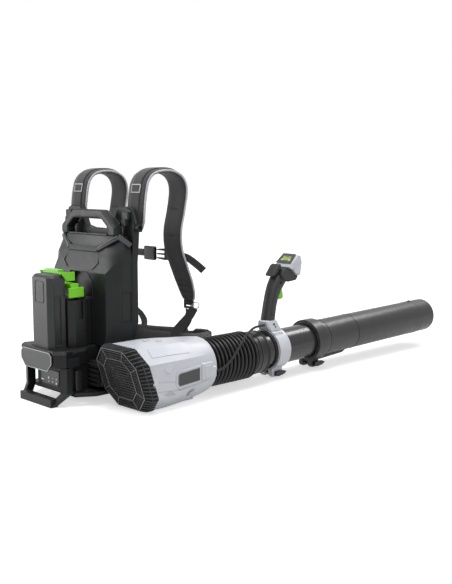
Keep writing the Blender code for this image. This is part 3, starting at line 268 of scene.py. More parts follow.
def smooth_edges(obj, width):
    """Small rounded edges and even shading over a faceted solid."""
    for p in obj.data.polygons:
        p.use_smooth = True
    weld = obj.modifiers.new("weld", "WELD")
    weld.merge_threshold = 0.00002
    bevel = obj.modifiers.new("round", "BEVEL")
    bevel.width = width
    bevel.segments = 2
    bevel.limit_method = "ANGLE"
    bevel.angle_limit = math.radians(32)
    bevel.harden_normals = True
    bevel.miter_outer = "MITER_ARC"
    shading = obj.modifiers.new("even", "WEIGHTED_NORMAL")
    shading.keep_sharp = False
    shading.weight = 80


for key, names in FINISH.items():
    for name in names.split():
        node = NODES[name]
        node.data.materials.clear()
        node.data.materials.append(M[key])
        smooth_edges(node, FINE_EDGE if name in FINE else PLAIN_EDGE)


# ------------------------------------------------------------ modelling
def editing():
    """Edit mode on the active piece, all of it selected."""
    bpy.ops.object.mode_set(mode="EDIT")
    bpy.ops.mesh.select_mode(type="FACE")
    bpy.ops.mesh.select_all(action="SELECT")


def facing_out():
    """Edit mode, with every face turned outwards."""
    editing()
    bpy.ops.mesh.normals_make_consistent(inside=False)


def moved(obj, place):
    """Each vertex carried to its final spot."""
    for v in obj.data.vertices:
        v.co = place(v.co)


def done(obj, name, mat, body, bevel=0.0, smooth=True):
    """Named, finished and riding on its body."""
    bpy.ops.object.mode_set(mode="OBJECT")
    obj.name = obj.data.name = name
    obj.data.materials.append(M[mat])
    if bevel:
        smooth_edges(obj, bevel)
    elif smooth:
        for p in obj.data.polygons:
            p.use_smooth = True
    if body:
        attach(obj, body)
    return obj


def primitive(add, **sizes):
    """A new primitive at the origin, with nothing else selected."""
    bpy.ops.object.select_all(action="DESELECT")
    add(location=(0, 0, 0), **sizes)
    return bpy.context.object


def circle(count, fill="NGON"):
    return primitive(bpy.ops.mesh.primitive_circle_add, vertices=count, radius=1.0, fill_type=fill)


def point(axis, a, b, c):
    """A place c along the axis and a, b across it."""
    return {"x": (c, a, b), "y": (a, c, b), "z": (a, b, c)}[axis]


def grid(columns, rows):
    return primitive(bpy.ops.mesh.primitive_grid_add, x_subdivisions=columns, y_subdivisions=rows,
                     size=2.0)


def face_across(outline, axis, at):
    """A flat face with this outline, square to the axis, in edit mode."""
    obj = circle(len(outline))
    for v, (a, b) in zip(obj.data.vertices, outline):
        v.co = point(axis, a, b, at)
    editing()
    return obj


def extruded(obj, along, place):
    """What is selected drawn out, its faces turned outwards, and put in its place."""
    bpy.ops.mesh.extrude_region_move(TRANSFORM_OT_translate={"value": along})
    bpy.ops.mesh.select_all(action="SELECT")
    bpy.ops.mesh.normals_make_consistent(inside=False)
    bpy.ops.object.mode_set(mode="OBJECT")
    if place:
        moved(obj, place)
        facing_out()


def prism(name, outline, axis, low, high, mat, bevel=0.0006, place=None, body="backpack"):
    """An outline drawn flat and extruded along an axis."""
    obj = face_across(outline, axis, low)
    extruded(obj, point(axis, 0, 0, high - low), place)
    return done(obj, name, mat, body, bevel)


def ring_plate(name, outline, width, axis, low, high, mat, bevel=0.0002, place=None,
               body="backpack"):
    """A flat frame: the outline inset, its middle taken out, and the rest extruded."""
    obj = face_across(outline, axis, low)
    bpy.ops.mesh.inset(thickness=width, use_even_offset=True)
    bpy.ops.mesh.delete(type="FACE")
    bpy.ops.mesh.select_all(action="SELECT")
    extruded(obj, point(axis, 0, 0, high - low), place)
    return done(obj, name, mat, body, bevel)


# A block's broad faces: how far they are inset and sunk, as shares of its sizes.
BLOCK_INSET, BLOCK_SUNK = 0.16, 0.08


def block(name, low, high, mat, bevel=0.0006, place=None, body="backpack"):
    """A cube set between two corners, its broad faces inset and sunk a little."""
    obj = primitive(bpy.ops.mesh.primitive_cube_add, size=2.0)
    for v in obj.data.vertices:
        v.co = [high[k] if v.co[k] > 0 else low[k] for k in range(3)]
    span = [abs(high[k] - low[k]) for k in range(3)]
    thin = span.index(min(span))
    for p in obj.data.polygons:
        p.select = abs(p.normal[thin]) > 0.9
    bpy.ops.object.mode_set(mode="EDIT")
    bpy.ops.mesh.select_mode(type="FACE")
    bpy.ops.mesh.inset(thickness=sorted(span)[1] * BLOCK_INSET, depth=-min(span) * BLOCK_SUNK,
                       use_individual=True)
    bpy.ops.object.mode_set(mode="OBJECT")
    if place:
        moved(obj, place)
    facing_out()
    return done(obj, name, mat, body, bevel)


def slab(name, x, half, low, high, mat, bevel, body="backpack"):
    """A block that reaches as far on both sides of x. low and high are (y, z) corners."""
    return block(name, (x - half, *low), (x + half, *high), mat, bevel, body=body)


def stud(name, at, along, radius, length, mat, hollow=0.0, body="backpack"):
    """A round boss or screw head, with a recess in its face."""
    turn = Vector(along).to_track_quat("Z", "Y")
    obj = primitive(bpy.ops.mesh.primitive_cylinder_add, vertices=20, radius=radius, depth=length)
    if hollow:
        editing()
        bpy.ops.mesh.select_all(action="DESELECT")
        bpy.ops.object.mode_set(mode="OBJECT")
        for p in obj.data.polygons:
            p.select = p.normal.z > 0.9
        bpy.ops.object.mode_set(mode="EDIT")
        bpy.ops.mesh.inset(thickness=radius * (1 - hollow))
        sink = (0, 0, -length * 0.45)
        bpy.ops.mesh.extrude_region_move(TRANSFORM_OT_translate={"value": sink})
        bpy.ops.object.mode_set(mode="OBJECT")
    moved(obj, lambda co: turn @ co + Vector(at))
    return done(obj, name, mat, body, 0.0005)


def joined(name, parts, body):
    """Several finished copies made one piece."""
    bpy.ops.object.select_all(action="DESELECT")
    for p in parts:
        p.select_set(True)
    obj = bpy.context.view_layer.objects.active = parts[0]
    bpy.ops.object.join()
    obj.name = obj.data.name = name
    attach(obj, body)


def skin(name, rings, mat, body, uvs=None):
    """Soft goods and cords: a closed wall over rings of equal count, laid along a path."""
    n, last = len(rings[0]), len(rings) - 1
    faces = [(i * n + j, i * n + (j + 1) % n, (i + 1) * n + (j + 1) % n, (i + 1) * n + j)
             for i in range(last) for j in range(n)]
    faces += [tuple(range(n))[::-1], tuple(last * n + j for j in range(n))]
    mesh = bpy.data.meshes.new(name)
    mesh.from_pydata([tuple(p) for ring in rings for p in ring], [], faces)
    if uvs is not None:
        layer = mesh.uv_layers.new(name="UVMap")
        for loop in mesh.loops:
            layer.data[loop.index].uv = uvs[loop.vertex_index]
    bm = bmesh.new()
    bm.from_mesh(mesh)
    bmesh.ops.remove_doubles(bm, verts=bm.verts, dist=1e-6)
    bmesh.ops.recalc_face_normals(bm, faces=bm.faces)
    bm.to_mesh(mesh)
    bm.free()
    mesh.materials.append(M[mat])
    obj = bpy.data.objects.new(name, mesh)
    SCENE.collection.objects.link(obj)
    for p in mesh.polygons:
        p.use_smooth = True
    if body:
        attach(obj, body)
    return obj


def tipped_up(p, angle):
    """A point on the level blower line, turned up about PIVOT."""
    c, s = math.cos(angle), math.sin(angle)
    y, z = p[1] - PIVOT.y, p[2] - PIVOT.z
    return Vector((p[0], PIVOT.y + c * y - s * z, PIVOT.z + s * y + c * z))


def rise(p):
    """A point given in the blower line's level axes, at its real place."""
    return tipped_up(p, RISE)


def turned(name, profile, mat, body, lifted=True):
    """A closed profile of (radius, station) spun about the blower's axis."""
    obj = circle(len(profile), "NOTHING")
    for v, (r, y) in zip(obj.data.vertices, profile):
        v.co = (AXIS.x + r, y, AXIS.z)
    bpy.ops.object.mode_set(mode="EDIT")
    bpy.ops.mesh.select_mode(type="VERT")
    bpy.ops.mesh.select_all(action="SELECT")
    bpy.ops.mesh.spin(steps=72, angle=2 * math.pi, center=(AXIS.x, 0, AXIS.z), axis=(0, 1, 0))
    bpy.ops.mesh.select_all(action="SELECT")
    bpy.ops.mesh.remove_doubles(threshold=0.00001)
    bpy.ops.mesh.normals_make_consistent(inside=False)
    bpy.ops.object.mode_set(mode="OBJECT")
    if lifted:
        moved(obj, rise)
    return done(obj, name, mat, body)


def curve(points, per_span):
    """Points of a smooth curve through the given points."""
    pts = [Vector(p) for p in points]
    ext = [2 * pts[0] - pts[1]] + pts + [2 * pts[-1] - pts[-2]]
    out = []
    for i in range(1, len(ext) - 2):
        p0, p1, p2, p3 = ext[i - 1:i + 3]
        for k in range(per_span):
            t = k / per_span
            out.append(0.5 * ((2 * p1) + (p2 - p0) * t + (2 * p0 - 5 * p1 + 4 * p2 - p3) * t * t
                              + (3 * p1 - p0 - 3 * p2 + p3) * t ** 3))
    out.append(pts[-1])
    return out


def spread(values, count):
    """The values stretched over count points, straight between them."""
    out = []
    for i in range(count):
        t = i / (count - 1) * (len(values) - 1)
        k = min(int(t), len(values) - 2)
        out.append(values[k] + (values[k + 1] - values[k]) * (t - k))
    return out


def runs(path):
    """How far along the path each point lies."""
    out = [0.0]
    for a, b in zip(path, path[1:]):
        out.append(out[-1] + (b - a).length)
    return out


def frames(path, across):
    """Each point with its direction, the way across the band, and the way off its face."""
    out = []
    for i, p in enumerate(path):
        t = (path[min(i + 1, len(path) - 1)] - path[max(i - 1, 0)]).normalized()
        s = Vector(across[i] if isinstance(across, list) else across)
        s = (s - t * s.dot(t)).normalized()
        out.append((p, t, s, t.cross(s)))
    return out


def band(name, path, widths, thicks, mat, across=(1, 0, 0), crown=0.0, seams=(), cells=6, edge=0.9):
    """A strap or pad along a path. seams are (place along in metres, depth, half width)."""
    run = runs(path)
    rings, uvs = [], []
    for i, (p, t, s, n) in enumerate(frames(path, across)):
        w, h = widths[i] / 2, thicks[i] / 2
        pinch = sum(d * math.exp(-((run[i] - at) / half) ** 2) for at, d, half in seams)
        ring = []
        for side in (1, -1):
            for k in range(cells + 1):
                u = (-1 + 2 * k / cells) * side
                v = h * (edge + (1 - edge) * (1 - abs(u) ** 5)) * (1 + crown * (1 - u * u))
                v = max(v - pinch * (1 - abs(u) ** 6), h * 0.25)
                ring.append(p + s * (w * u) + n * (v * side))
                uvs.append((w * u, run[i] + (0.3 if side < 0 else 0)))
        rings.append(ring)
    return skin(name, rings, mat, "backpack", uvs)


def cord(name, path, radius, mat, body="backpack", sides=8):
    """A round cord along points, its rings carried along without twist."""
    rings, ref = [], None
    for i, p in enumerate(path):
        t = (path[min(i + 1, len(path) - 1)] - path[max(i - 1, 0)]).normalized()
        if ref is None:
            ref = t.orthogonal().normalized()
        ref = (ref - t * ref.dot(t)).normalized()
        b = t.cross(ref)
        rings.append([p + ref * (radius * math.cos(a)) + b * (radius * math.sin(a))
                      for a in (2 * math.pi * k / sides for k in range(sides))])
    return skin(name, rings, mat, body)


def apply_all(obj):
    bpy.ops.object.select_all(action="DESELECT")
    obj.select_set(True)
    bpy.context.view_layer.objects.active = obj
    for m in list(obj.modifiers):
        bpy.ops.object.modifier_apply(modifier=m.name)


def plate_on(name, corners, node, mat, lift, thick, cells, bevel=0.0, body="backpack"):
    """A thin plate between four corners, laid on a CAD surface."""
    obj = grid(*cells)
    a, b, c, d = (Vector(p) for p in corners)
    for v in obj.data.vertices:
        u, w = (v.co.x + 1) / 2, (v.co.y + 1) / 2
        v.co = (a * (1 - u) + b * u) * (1 - w) + (d * (1 - u) + c * u) * w
    hug = obj.modifiers.new("hug", "SHRINKWRAP")
    hug.target = NODES[node]
    hug.wrap_method = "NEAREST_SURFACEPOINT"
    hug.wrap_mode = "ABOVE_SURFACE"
    hug.offset = lift
    wall = obj.modifiers.new("wall", "SOLIDIFY")
    wall.thickness = thick
    wall.offset = -1.0
    apply_all(obj)
    facing_out()
    return done(obj, name, mat, body, bevel)


def drawn(name, rings, mat, body, closed, bevel):
    """A section drawn flat, then extruded from corner to corner. A closed run is bridged."""
    obj = circle(len(rings[0]))
    for v, p in zip(obj.data.vertices, rings[0]):
        v.co = p
    editing()
    for before, ring in zip(rings, rings[1:]):
        bpy.ops.mesh.extrude_region_move(TRANSFORM_OT_translate={"value": (0, 0, 0)})
        bpy.ops.object.mode_set(mode="OBJECT")
        for v in [v for v in obj.data.vertices if v.select]:
            k = min(range(len(before)), key=lambda j: (before[j] - v.co).length)
            v.co = ring[k]
        bpy.ops.object.mode_set(mode="EDIT")
    if closed:
        bpy.ops.mesh.delete(type="FACE")
        bpy.ops.object.mode_set(mode="OBJECT")
        for p in obj.data.polygons:
            p.select = all(min((obj.data.vertices[k].co - q).length for q in rings[0]) < 1e-6
                           for k in p.vertices)
        bpy.ops.object.mode_set(mode="EDIT")
        bpy.ops.mesh.delete(type="FACE")
        bpy.ops.mesh.select_mode(type="EDGE")
        bpy.ops.mesh.select_all(action="DESELECT")
        bpy.ops.mesh.select_non_manifold()
        bpy.ops.mesh.bridge_edge_loops()
    bpy.ops.mesh.select_all(action="SELECT")
    bpy.ops.mesh.normals_make_consistent(inside=False)
    return done(obj, name, mat, body, bevel)


def rail(name, points, width, height, normal, mat, bevel=0.0, closed=False, body="backpack"):
    """A raised rib of rectangular section along corners, its joints mitred."""
    pts = [Vector(p) for p in points]
    n = len(pts)
    rings = []
    for i, p in enumerate(pts):
        d1 = (p - pts[(i - 1) % n]).normalized() if closed or i else None
        d2 = (pts[(i + 1) % n] - p).normalized() if closed or i < n - 1 else None
        d = ((d1 or d2) + (d2 or d1)).normalized()
        up = Vector(normal[i] if isinstance(normal, list) else normal)
        up = (up - d * up.dot(d)).normalized()
        side = d.cross(up)
        w = width / 2 / max(side.dot((d1 or d2).cross(up).normalized()), 0.4)
        foot, top = side * w, up * height
        rings.append([p + foot, p + foot + top, p - foot + top, p - foot])
    return drawn(name, rings, mat, body, closed, bevel)


def mirrored(s, points):
    """The right side's points, or their mirror image where s is -1."""
    return [(s * p[0], *p[1:]) for p in points]


def whole(half):
    """An outline from its right half, given from the bottom up or the top down."""
    return half + [(-x, y) for x, y in reversed(half)]


def oblong(a0, b0, a1, b1):
    return [(a0, b0), (a1, b0), (a1, b1), (a0, b1)]


# ------------------------------------------------------------ hose and cable
# Radii of the hose's troughs, crests, bore and plain ends, then the start of its ribs, their
# pitch and number, and how much of the pitch a crest takes and how full it is.
ROOT, CREST, BORE, PLAIN = 0.0578, 0.0680, 0.0545, 0.0585
RIB_START, RIB_PITCH, RIBS = 0.2085, 0.0145, 12
CREST_SHARE, CREST_POWER = 0.82, 2.2
# Stations of the hose's ends and of its middle, on a crest, and where it bends up.
HOSE_START, HOSE_END = 0.2052, 0.3865
HOSE_MIDDLE = RIB_START + RIB_PITCH * 6.5
BEND_START, BEND_LENGTH = 0.300, 0.075
RING_STEP = 0.0012


def hose_radius(y):
    t = (y - RIB_START) / RIB_PITCH
    if t < 0 or t > RIBS:
        return PLAIN
    k = abs((t % 1.0) - 0.5) * 2
    return ROOT + (CREST - ROOT) * (1 - min(k / CREST_SHARE, 1.0) ** CREST_POWER)


def hose_half(name, start, end):
    """One length of ribbed hose, bent up where the blower line starts to rise."""
    count = int(round((end - start) / RING_STEP))
    ys = [start + (end - start) * i / count for i in range(count + 1)]
    wall = [(hose_radius(y), y) for y in ys]
    bore = [(BORE, y) for y in (ys[-1], (start + end) / 2, ys[0])]
    obj = turned(name, wall + bore, "hose", None, lifted=False)
    for v in obj.data.vertices:
        t = min(max((v.co.y - BEND_START) / BEND_LENGTH, 0.0), 1.0)
        v.co = tipped_up(v.co, RISE * t * t * (3 - 2 * t))
    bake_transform(obj)
    return obj


rear_hose = hose_half("hose_rear", HOSE_START, HOSE_MIDDLE)
hose_half("hose_front", HOSE_MIDDLE, HOSE_END)
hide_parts("flex_hose")

CABLE = [(0.232, 0.4575, 0.1600), (0.246, 0.430, 0.1640), (0.262, 0.380, 0.1640),
         (0.280, 0.330, 0.1480), (0.2945, 0.285, 0.1180), (0.3015, 0.252, 0.0950),
         (0.3030, 0.225, 0.0815), (0.3010, 0.2006, 0.0775)]
CABLE_RADIUS = 0.0033
CABLE_JOINTS = [("tube", "handle"), ("cuff", "tube"), ("hose", "cuff"), ("backpack", "hose")]
cable = curve(CABLE, 12)
cuts = [0, 12, 24, 40, len(cable) - 1]
for i, (a, b) in enumerate(CABLE_JOINTS):
    part = cable[cuts[i]:cuts[i + 1] + 1]
    obj = cord(f"cable_{i + 1}", part, CABLE_RADIUS, "rubber", None, 12)
    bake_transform(obj)
    if i == 0:
        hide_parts("control_cable")

# ------------------------------------------------------------ harness
# The right shoulder strap's middle line as (y, z), from the back frame over the shoulder.
STRAP_X, STRAP_WIDTH, STRAP_THICK = 0.130, 0.070, 0.013
STRAP = [(0.0780, 0.440), (0.0780, 0.468), (0.0790, 0.500), (0.0840, 0.540), (0.0930, 0.572),
         (0.1130, 0.5915), (0.1480, 0.5985), (0.1850, 0.5945), (0.2120, 0.577), (0.2220, 0.545),
         (0.2130, 0.490), (0.2015, 0.440), (0.2035, 0.392), (0.2210, 0.345), (0.2400, 0.300),
         (0.2520, 0.268), (0.2570, 0.250), (0.2585, 0.2445)]
# Shares of the strap's full width and thickness, from end to end.
STRAP_TAPER = [0.60, 0.95] + [1.0] * 12 + [0.97, 0.84, 0.66, 0.50]
STRAP_THINNING = [0.4, 0.9] + [1.0] * 13 + [0.95, 0.75, 0.40]
STITCH_HEIGHTS = (0.4955, 0.424, 0.306, 0.288, 0.272)
# The right hip wing as (x, y, z, height), from the frame to its buckle.
WING = [(0.0665, 0.0800, 0.1270, 0.110), (0.092, 0.0860, 0.1265, 0.108),
        (0.1080, 0.0990, 0.1250, 0.104), (0.1150, 0.1250, 0.1230, 0.098),
        (0.1180, 0.1700, 0.1190, 0.088), (0.1170, 0.2150, 0.1150, 0.076),
        (0.1100, 0.2600, 0.1110, 0.066), (0.0960, 0.3040, 0.1070, 0.058),
        (0.0780, 0.3460, 0.1040, 0.052), (0.0520, 0.4000, 0.1020, 0.044),
        (0.0460, 0.4120, 0.1020, 0.034)]
WING_THICK = [0.012, 0.016, 0.016, 0.016, 0.015, 0.014, 0.014, 0.013, 0.012, 0.010, 0.004]
WEB_THICK = 0.0022
SEWN_THICK = 0.0018


def on_band(path, run, thick, face):
    """Maps (across, along, off) to the face of a band, face +1 inside and -1 outside."""
    fr = frames(path, (1, 0, 0))

    def place(co):
        k = next((i for i in range(1, len(run)) if run[i] >= co.y), len(run) - 1)
        f = min(max((co.y - run[k - 1]) / max(run[k] - run[k - 1], 1e-6), 0.0), 1.0)
        p = fr[k - 1][0].lerp(fr[k][0], f)
        s = fr[k - 1][2].lerp(fr[k][2], f).normalized()
        n = fr[k - 1][3].lerp(fr[k][3], f).normalized()
        h = thick[k - 1] / 2
        return p + s * co.x + n * face * (h * 1.06 + co.z)
    return place


def sewn_band(name, line, width, across=(1, 0, 0)):
    """Flat webbing sewn onto a pad."""
    count = len(line)
    band(name, line, [width] * count, [SEWN_THICK] * count, "webbing", across)


def strap_ring(side, s):
    """The steel ring at the strap's lower end."""
    ring = primitive(bpy.ops.mesh.primitive_torus_add, major_radius=0.0088, minor_radius=0.0013,
                     major_segments=28, minor_segments=10,
                     rotation=(math.radians(90), 0, math.radians(40 * s)))
    turn = ring.matrix_world.to_3x3()
    moved(ring, lambda co: turn @ co + Vector((s * 0.1555, 0.2620, 0.2300)))
    ring.rotation_euler = (0, 0, 0)
    done(ring, f"strap_ring_{side}", "steel", "backpack")


def shoulder_strap(side, s):
    path = curve([(s * STRAP_X, y, z) for y, z in STRAP], 10)
    n = len(path)
    widths = spread([STRAP_WIDTH * k for k in STRAP_TAPER], n)
    thicks = spread([STRAP_THICK * k for k in STRAP_THINNING], n)
    run = runs(path)
    front = [i for i in range(n) if path[i].y > 0.19]
    rear = [i for i in range(n) if path[i].y < 0.10]

    def along(points, z):
        return run[min(points, key=lambda i: abs(path[i].z - z))]
    stitches = [along(front, z) for z in STITCH_HEIGHTS]
    pad = band(f"strap_pad_{side}", path, widths, thicks, "fabric", crown=0.10, cells=16, edge=0.45,
               seams=[(at, 0.0016, 0.0016) for at in stitches])
    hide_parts("shoulder_strap_" + side)
    fr = frames(path, (1, 0, 0))
    for edge, e in (("outer", 1), ("inner", -1)):
        line = [p + sv * (e * (widths[i] / 2 - 0.0002)) - nv * (thicks[i] * 0.06)
                for i, (p, t, sv, nv) in enumerate(fr)]
        cord(f"strap_piping_{edge}_{side}", line[4:-2], 0.0029, "piping")
    sewn = [i for i in range(7, n) if path[i].y <= 0.19 or path[i].z >= 0.33]
    sewn_band(f"strap_webbing_{side}",
              [fr[i][0] - fr[i][3] * (thicks[i] / 2 * 1.10 + 0.0008) for i in sewn], 0.040)
    mid = along(rear, 0.549)
    ring_plate(f"strap_mark_{side}", oblong(-0.0185, mid - 0.011, 0.0185, mid + 0.011), 0.0024,
               "z", 0.0022, 0.0032, "piping", 0.0002, on_band(path, run, thicks, -1))
    inside = on_band(path, run, thicks, 1)
    for i, y in enumerate(stitches):
        block(f"strap_stitch_{i + 1}_{side}", (-0.022, y - 0.0007, -0.0016),
              (0.012, y + 0.0007, 0.0001), "binding", 0.0, inside)
    strap_ring(side, s)


def hip_wing(side, s):
    path = curve(mirrored(s, [p[:3] for p in WING]), 6)
    n = len(path)
    heights = spread([p[3] for p in WING], n)
    thicks = spread(WING_THICK, n)
    length = runs(path)[-1]
    upright = (0, 0, 1)
    pad = band(f"wing_pad_{side}", path, heights, thicks, "fabric", upright, 0.16, cells=14,
               edge=0.4, seams=[(length * k, 0.0022, 0.0022) for k in (0.22, 0.40, 0.58, 0.76)])
    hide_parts("hip_wing_" + side)
    fr = frames(path, upright)
    for edge, e in (("top", 1), ("bottom", -1)):
        line = [p + sv * (e * (heights[i] / 2 - 0.0004)) for i, (p, t, sv, nv) in enumerate(fr)]
        cord(f"wing_binding_{edge}_{side}", line[2:-2], 0.0024, "binding")
    outside = [p + nv * (s * (thicks[i] / 2 * 1.12 + 0.0010))
               for i, (p, t, sv, nv) in enumerate(fr)]
    sewn_band(f"wing_webbing_{side}", outside[6:-1], 0.025, upright)


def webbing(name, points, width, node, across=(1, 0, 0)):
    """Loose webbing through points. across is one direction, or a list shared out along it."""
    path = curve(points, 8)
    n = len(path)
    if isinstance(across, list):
        last = len(across) - 1
        across = [across[min(int(i / (n - 1) * last + 0.5), last)] for i in range(n)]
    obj = band(name, path, [width] * n, [WEB_THICK] * n, "webbing", across, edge=0.85)
    if node:
        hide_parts(node)


# Where the pads meet the back frame, how far the cloth may move from its start, and for how long.
PAD_REAR = 0.0706
CLOTH_REACH = 0.006
CLOTH_FRAMES = 20


def foam(width, low, high, thick):
    """A rounded block of foam, remeshed fine enough for the cloth to swell."""
    obj = primitive(bpy.ops.mesh.primitive_cube_add, size=2.0)
    half = width / 2 - 0.004, thick * 0.40, (high - low) / 2 - 0.004
    mid = Vector((0, PAD_REAR + thick * 0.5, (low + high) / 2))
    moved(obj, lambda co: Vector([math.copysign(h, c) for h, c in zip(half, co)]) + mid)
    corner = obj.modifiers.new("corner", "BEVEL")
    corner.width = 0.028
    corner.segments = 5
    corner.limit_method = "WEIGHT"
    weight = obj.data.attributes.new("bevel_weight_edge", "FLOAT", "EDGE")
    for e in obj.data.edges:
        a, b = (obj.data.vertices[k].co for k in e.vertices)
        weight.data[e.index].value = 1.0 if abs(a.y - b.y) > 0.001 else 0.0
    voxel = obj.modifiers.new("voxel", "REMESH")
    voxel.mode = "VOXEL"
    voxel.voxel_size = 0.005
    voxel.use_smooth_shade = True
    apply_all(obj)
    return obj, mid


def swell(obj):
    """Cloth pressure fills the cover, and the last frame is kept."""
    puff = obj.modifiers.new("puff", "CLOTH")
    puff.settings.use_pressure = True
    puff.settings.uniform_pressure_force = 4.0
    puff.settings.mass = 0.3
    puff.settings.tension_stiffness = 15
    puff.settings.compression_stiffness = 15
    puff.settings.effector_weights.gravity = 0.0
    puff.collision_settings.use_collision = False
    puff.point_cache.frame_start = 1
    puff.point_cache.frame_end = CLOTH_FRAMES
    for f in range(1, CLOTH_FRAMES + 1):
        SCENE.frame_set(f)
    apply_all(obj)
    SCENE.frame_set(1)


def stuffed(name, width, low, high, thick, node, seams):
    """A foam pad in a fabric cover. seams are (axis, place, depth, half width) of its channels."""
    obj, mid = foam(width, low, high, thick)
    start = [v.co.copy() for v in obj.data.vertices]
    swell(obj)
    front = PAD_REAR + thick * 1.10
    for v, home in zip(obj.data.vertices, start):
        move = v.co - home
        if move.length > CLOTH_REACH:
            v.co = home + move * (CLOTH_REACH / move.length)
    for v in obj.data.vertices:
        if v.co.y > mid.y:
            pinch = 0.0
            for axis, where, depth, half in seams:
                d = abs((v.co.x if axis == "x" else v.co.z) - where)
                pinch = max(pinch, depth * math.exp(-(d / half) ** 2))
            v.co.y = min(v.co.y, front) - pinch
        v.co.y = max(v.co.y, PAD_REAR + 0.0001)
    sub = obj.modifiers.new("sub", "SUBSURF")
    sub.levels = sub.render_levels = 1
    apply_all(obj)
    facing_out()
    done(obj, name, "mesh", "backpack")
    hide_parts(node)


# Lower webbing from the strap's adjuster to the frame, and its shorter second strand.
LOWER_WEB = [(0.130, 0.2585, 0.2150), (0.1240, 0.2640, 0.1980), (0.1020, 0.2740, 0.1740),
             (0.0840, 0.2700, 0.1470), (0.0820, 0.2400, 0.1000), (0.0860, 0.1900, 0.0680),
             (0.0880, 0.1300, 0.0540), (0.0900, 0.0900, 0.0500), (0.0900, 0.0703, 0.0490)]
SECOND_WEB = [(0.1500, 0.2600, 0.2230), (0.1440, 0.2460, 0.1990), (0.1330, 0.2250, 0.1740),
              (0.1268, 0.2060, 0.1540), (0.1262, 0.1960, 0.1420)]
# Chest webbing from its buckle over the strap. The right one ends in a loose tail.
CHEST_RIGHT = [(0.0854, 0.2290, 0.368), (0.1080, 0.2282, 0.368), (0.1200, 0.2226, 0.368),
               (0.1300, 0.2208, 0.368), (0.1600, 0.2208, 0.368), (0.1705, 0.2290, 0.3600),
               (0.1800, 0.2460, 0.3445), (0.1880, 0.2620, 0.3290)]
CHEST_LEFT = [(-0.0254, 0.2290, 0.368), (-0.0750, 0.2290, 0.368), (-0.1000, 0.2223, 0.368),
              (-0.1120, 0.2208, 0.368), (-0.1640, 0.2208, 0.368)]
LEVEL, LEANING = (0, 0, 1), (0, -0.36, 1)

for s, side in SIDES:
    shoulder_strap(side, s)
    hip_wing(side, s)
    webbing(f"strap_tail_{side}", mirrored(s, LOWER_WEB), 0.025, "lower_webbing_" + side)
    webbing(f"strap_anchor_{side}", mirrored(s, SECOND_WEB), 0.024, None, (s * 0.66, 0.75, 0))
webbing("chest_strap_right", CHEST_RIGHT, 0.020, "chest_webbing_right",
        [LEVEL] * 2 + [LEANING] * 6)
webbing("chest_strap_left", CHEST_LEFT, 0.020, "chest_webbing_left", [LEVEL] * 2 + [LEANING] * 3)
stuffed("back_cushion", 0.200, 0.205, 0.430, 0.021, "back_pad",
        [("x", 0.0, 0.006, 0.006), ("x", -0.058, 0.004, 0.005), ("x", 0.058, 0.004, 0.005),
         ("z", 0.280, 0.004, 0.005), ("z", 0.355, 0.004, 0.005)])
stuffed("lumbar_cushion", 0.128, 0.062, 0.186, 0.024, "lumbar_pad",
        [("x", 0.0, 0.005, 0.006), ("z", 0.124, 0.004, 0.006)])

# ------------------------------------------------------------ base and battery
ring_plate("plate_border", whole([(0.052, 0.0905), (0.0715, 0.1110), (0.0715, 0.1300),
                                  (0.061, 0.1405)]), 0.0022,
           "y", -0.1549, -0.1538, "border", 0.0003)
# Lighter strips along the base's top edge: a painted highlight where the edge catches the light.
rail("base_highlight_band_rear", [(-0.0725, -0.1503, 0.1418), (0.0745, -0.1503, 0.1418)], 0.0050, 0.0004,
     (0, -1, 0), "trim", 0.0002)
for s, side in SIDES:
    rail(f"base_highlight_band_{side}", mirrored(s, [(0.0765, -0.1492, 0.1400), (0.0975, -0.1277, 0.1400),
                                           (0.0803, -0.0515, 0.1400)]), 0.0085, 0.0005,
         mirrored(s, [(0.7, -0.7, 0), (0.93, -0.36, 0), (0.97, 0.22, 0)]), "trim", 0.0002)
for s, side in SIDES:
    stud(f"base_screw_{side}", (s * 0.0872, -0.1380, 0.1270), (s * 0.71, -0.70, 0), 0.0042, 0.0020,
         "deep", 0.7)
    block(f"base_step_{side}", (s * 0.0890 - 0.0012, -0.1180, 0.1010),
          (s * 0.0890 + 0.0075, -0.0850, 0.1240), "deep", 0.0015)
    slab(f"tray_post_{side}", s * 0.090, 0.006, (-0.092, 0.0345), (-0.078, 0.0900), "deep", 0.0025)
    stud(f"tray_eye_{side}", (s * 0.104, -0.070, 0.0352), (0, 0, 1), 0.0085, 0.0024, "deep", 0.6)
# Lamps on the control panel: middle x and z, width and height.
PANEL_LAMPS = [(-0.034, 0.052, 0.013, 0.0032), (-0.004, 0.060, 0.0045, 0.0060),
               (-0.004, 0.0500, 0.004, 0.003), (0.014, 0.060, 0.003, 0.0028),
               (0.014, 0.051, 0.0055, 0.0028), (0.031, 0.060, 0.0035, 0.0050),
               (0.031, 0.0495, 0.0055, 0.0050)]
for i, (x, z, w, h) in enumerate(PANEL_LAMPS):
    block(f"panel_lamp_{i + 1}", (x - w / 2, -0.1150, z - h / 2), (x + w / 2, -0.1143, z + h / 2),
          "mark", 0.0002)
ring_plate("panel_edge", whole([(0.035, 0.043), (0.043, 0.050), (0.043, 0.082)]), 0.0012,
           "y", -0.1148, -0.1140, "trim")
ring_plate("battery_label_edge", whole([(0.018, 0.262), (0.020, 0.266), (0.020, 0.314),
                                        (0.017, 0.318)]), 0.0012, "y", -0.1396, -0.1388, "port",
           body="power")
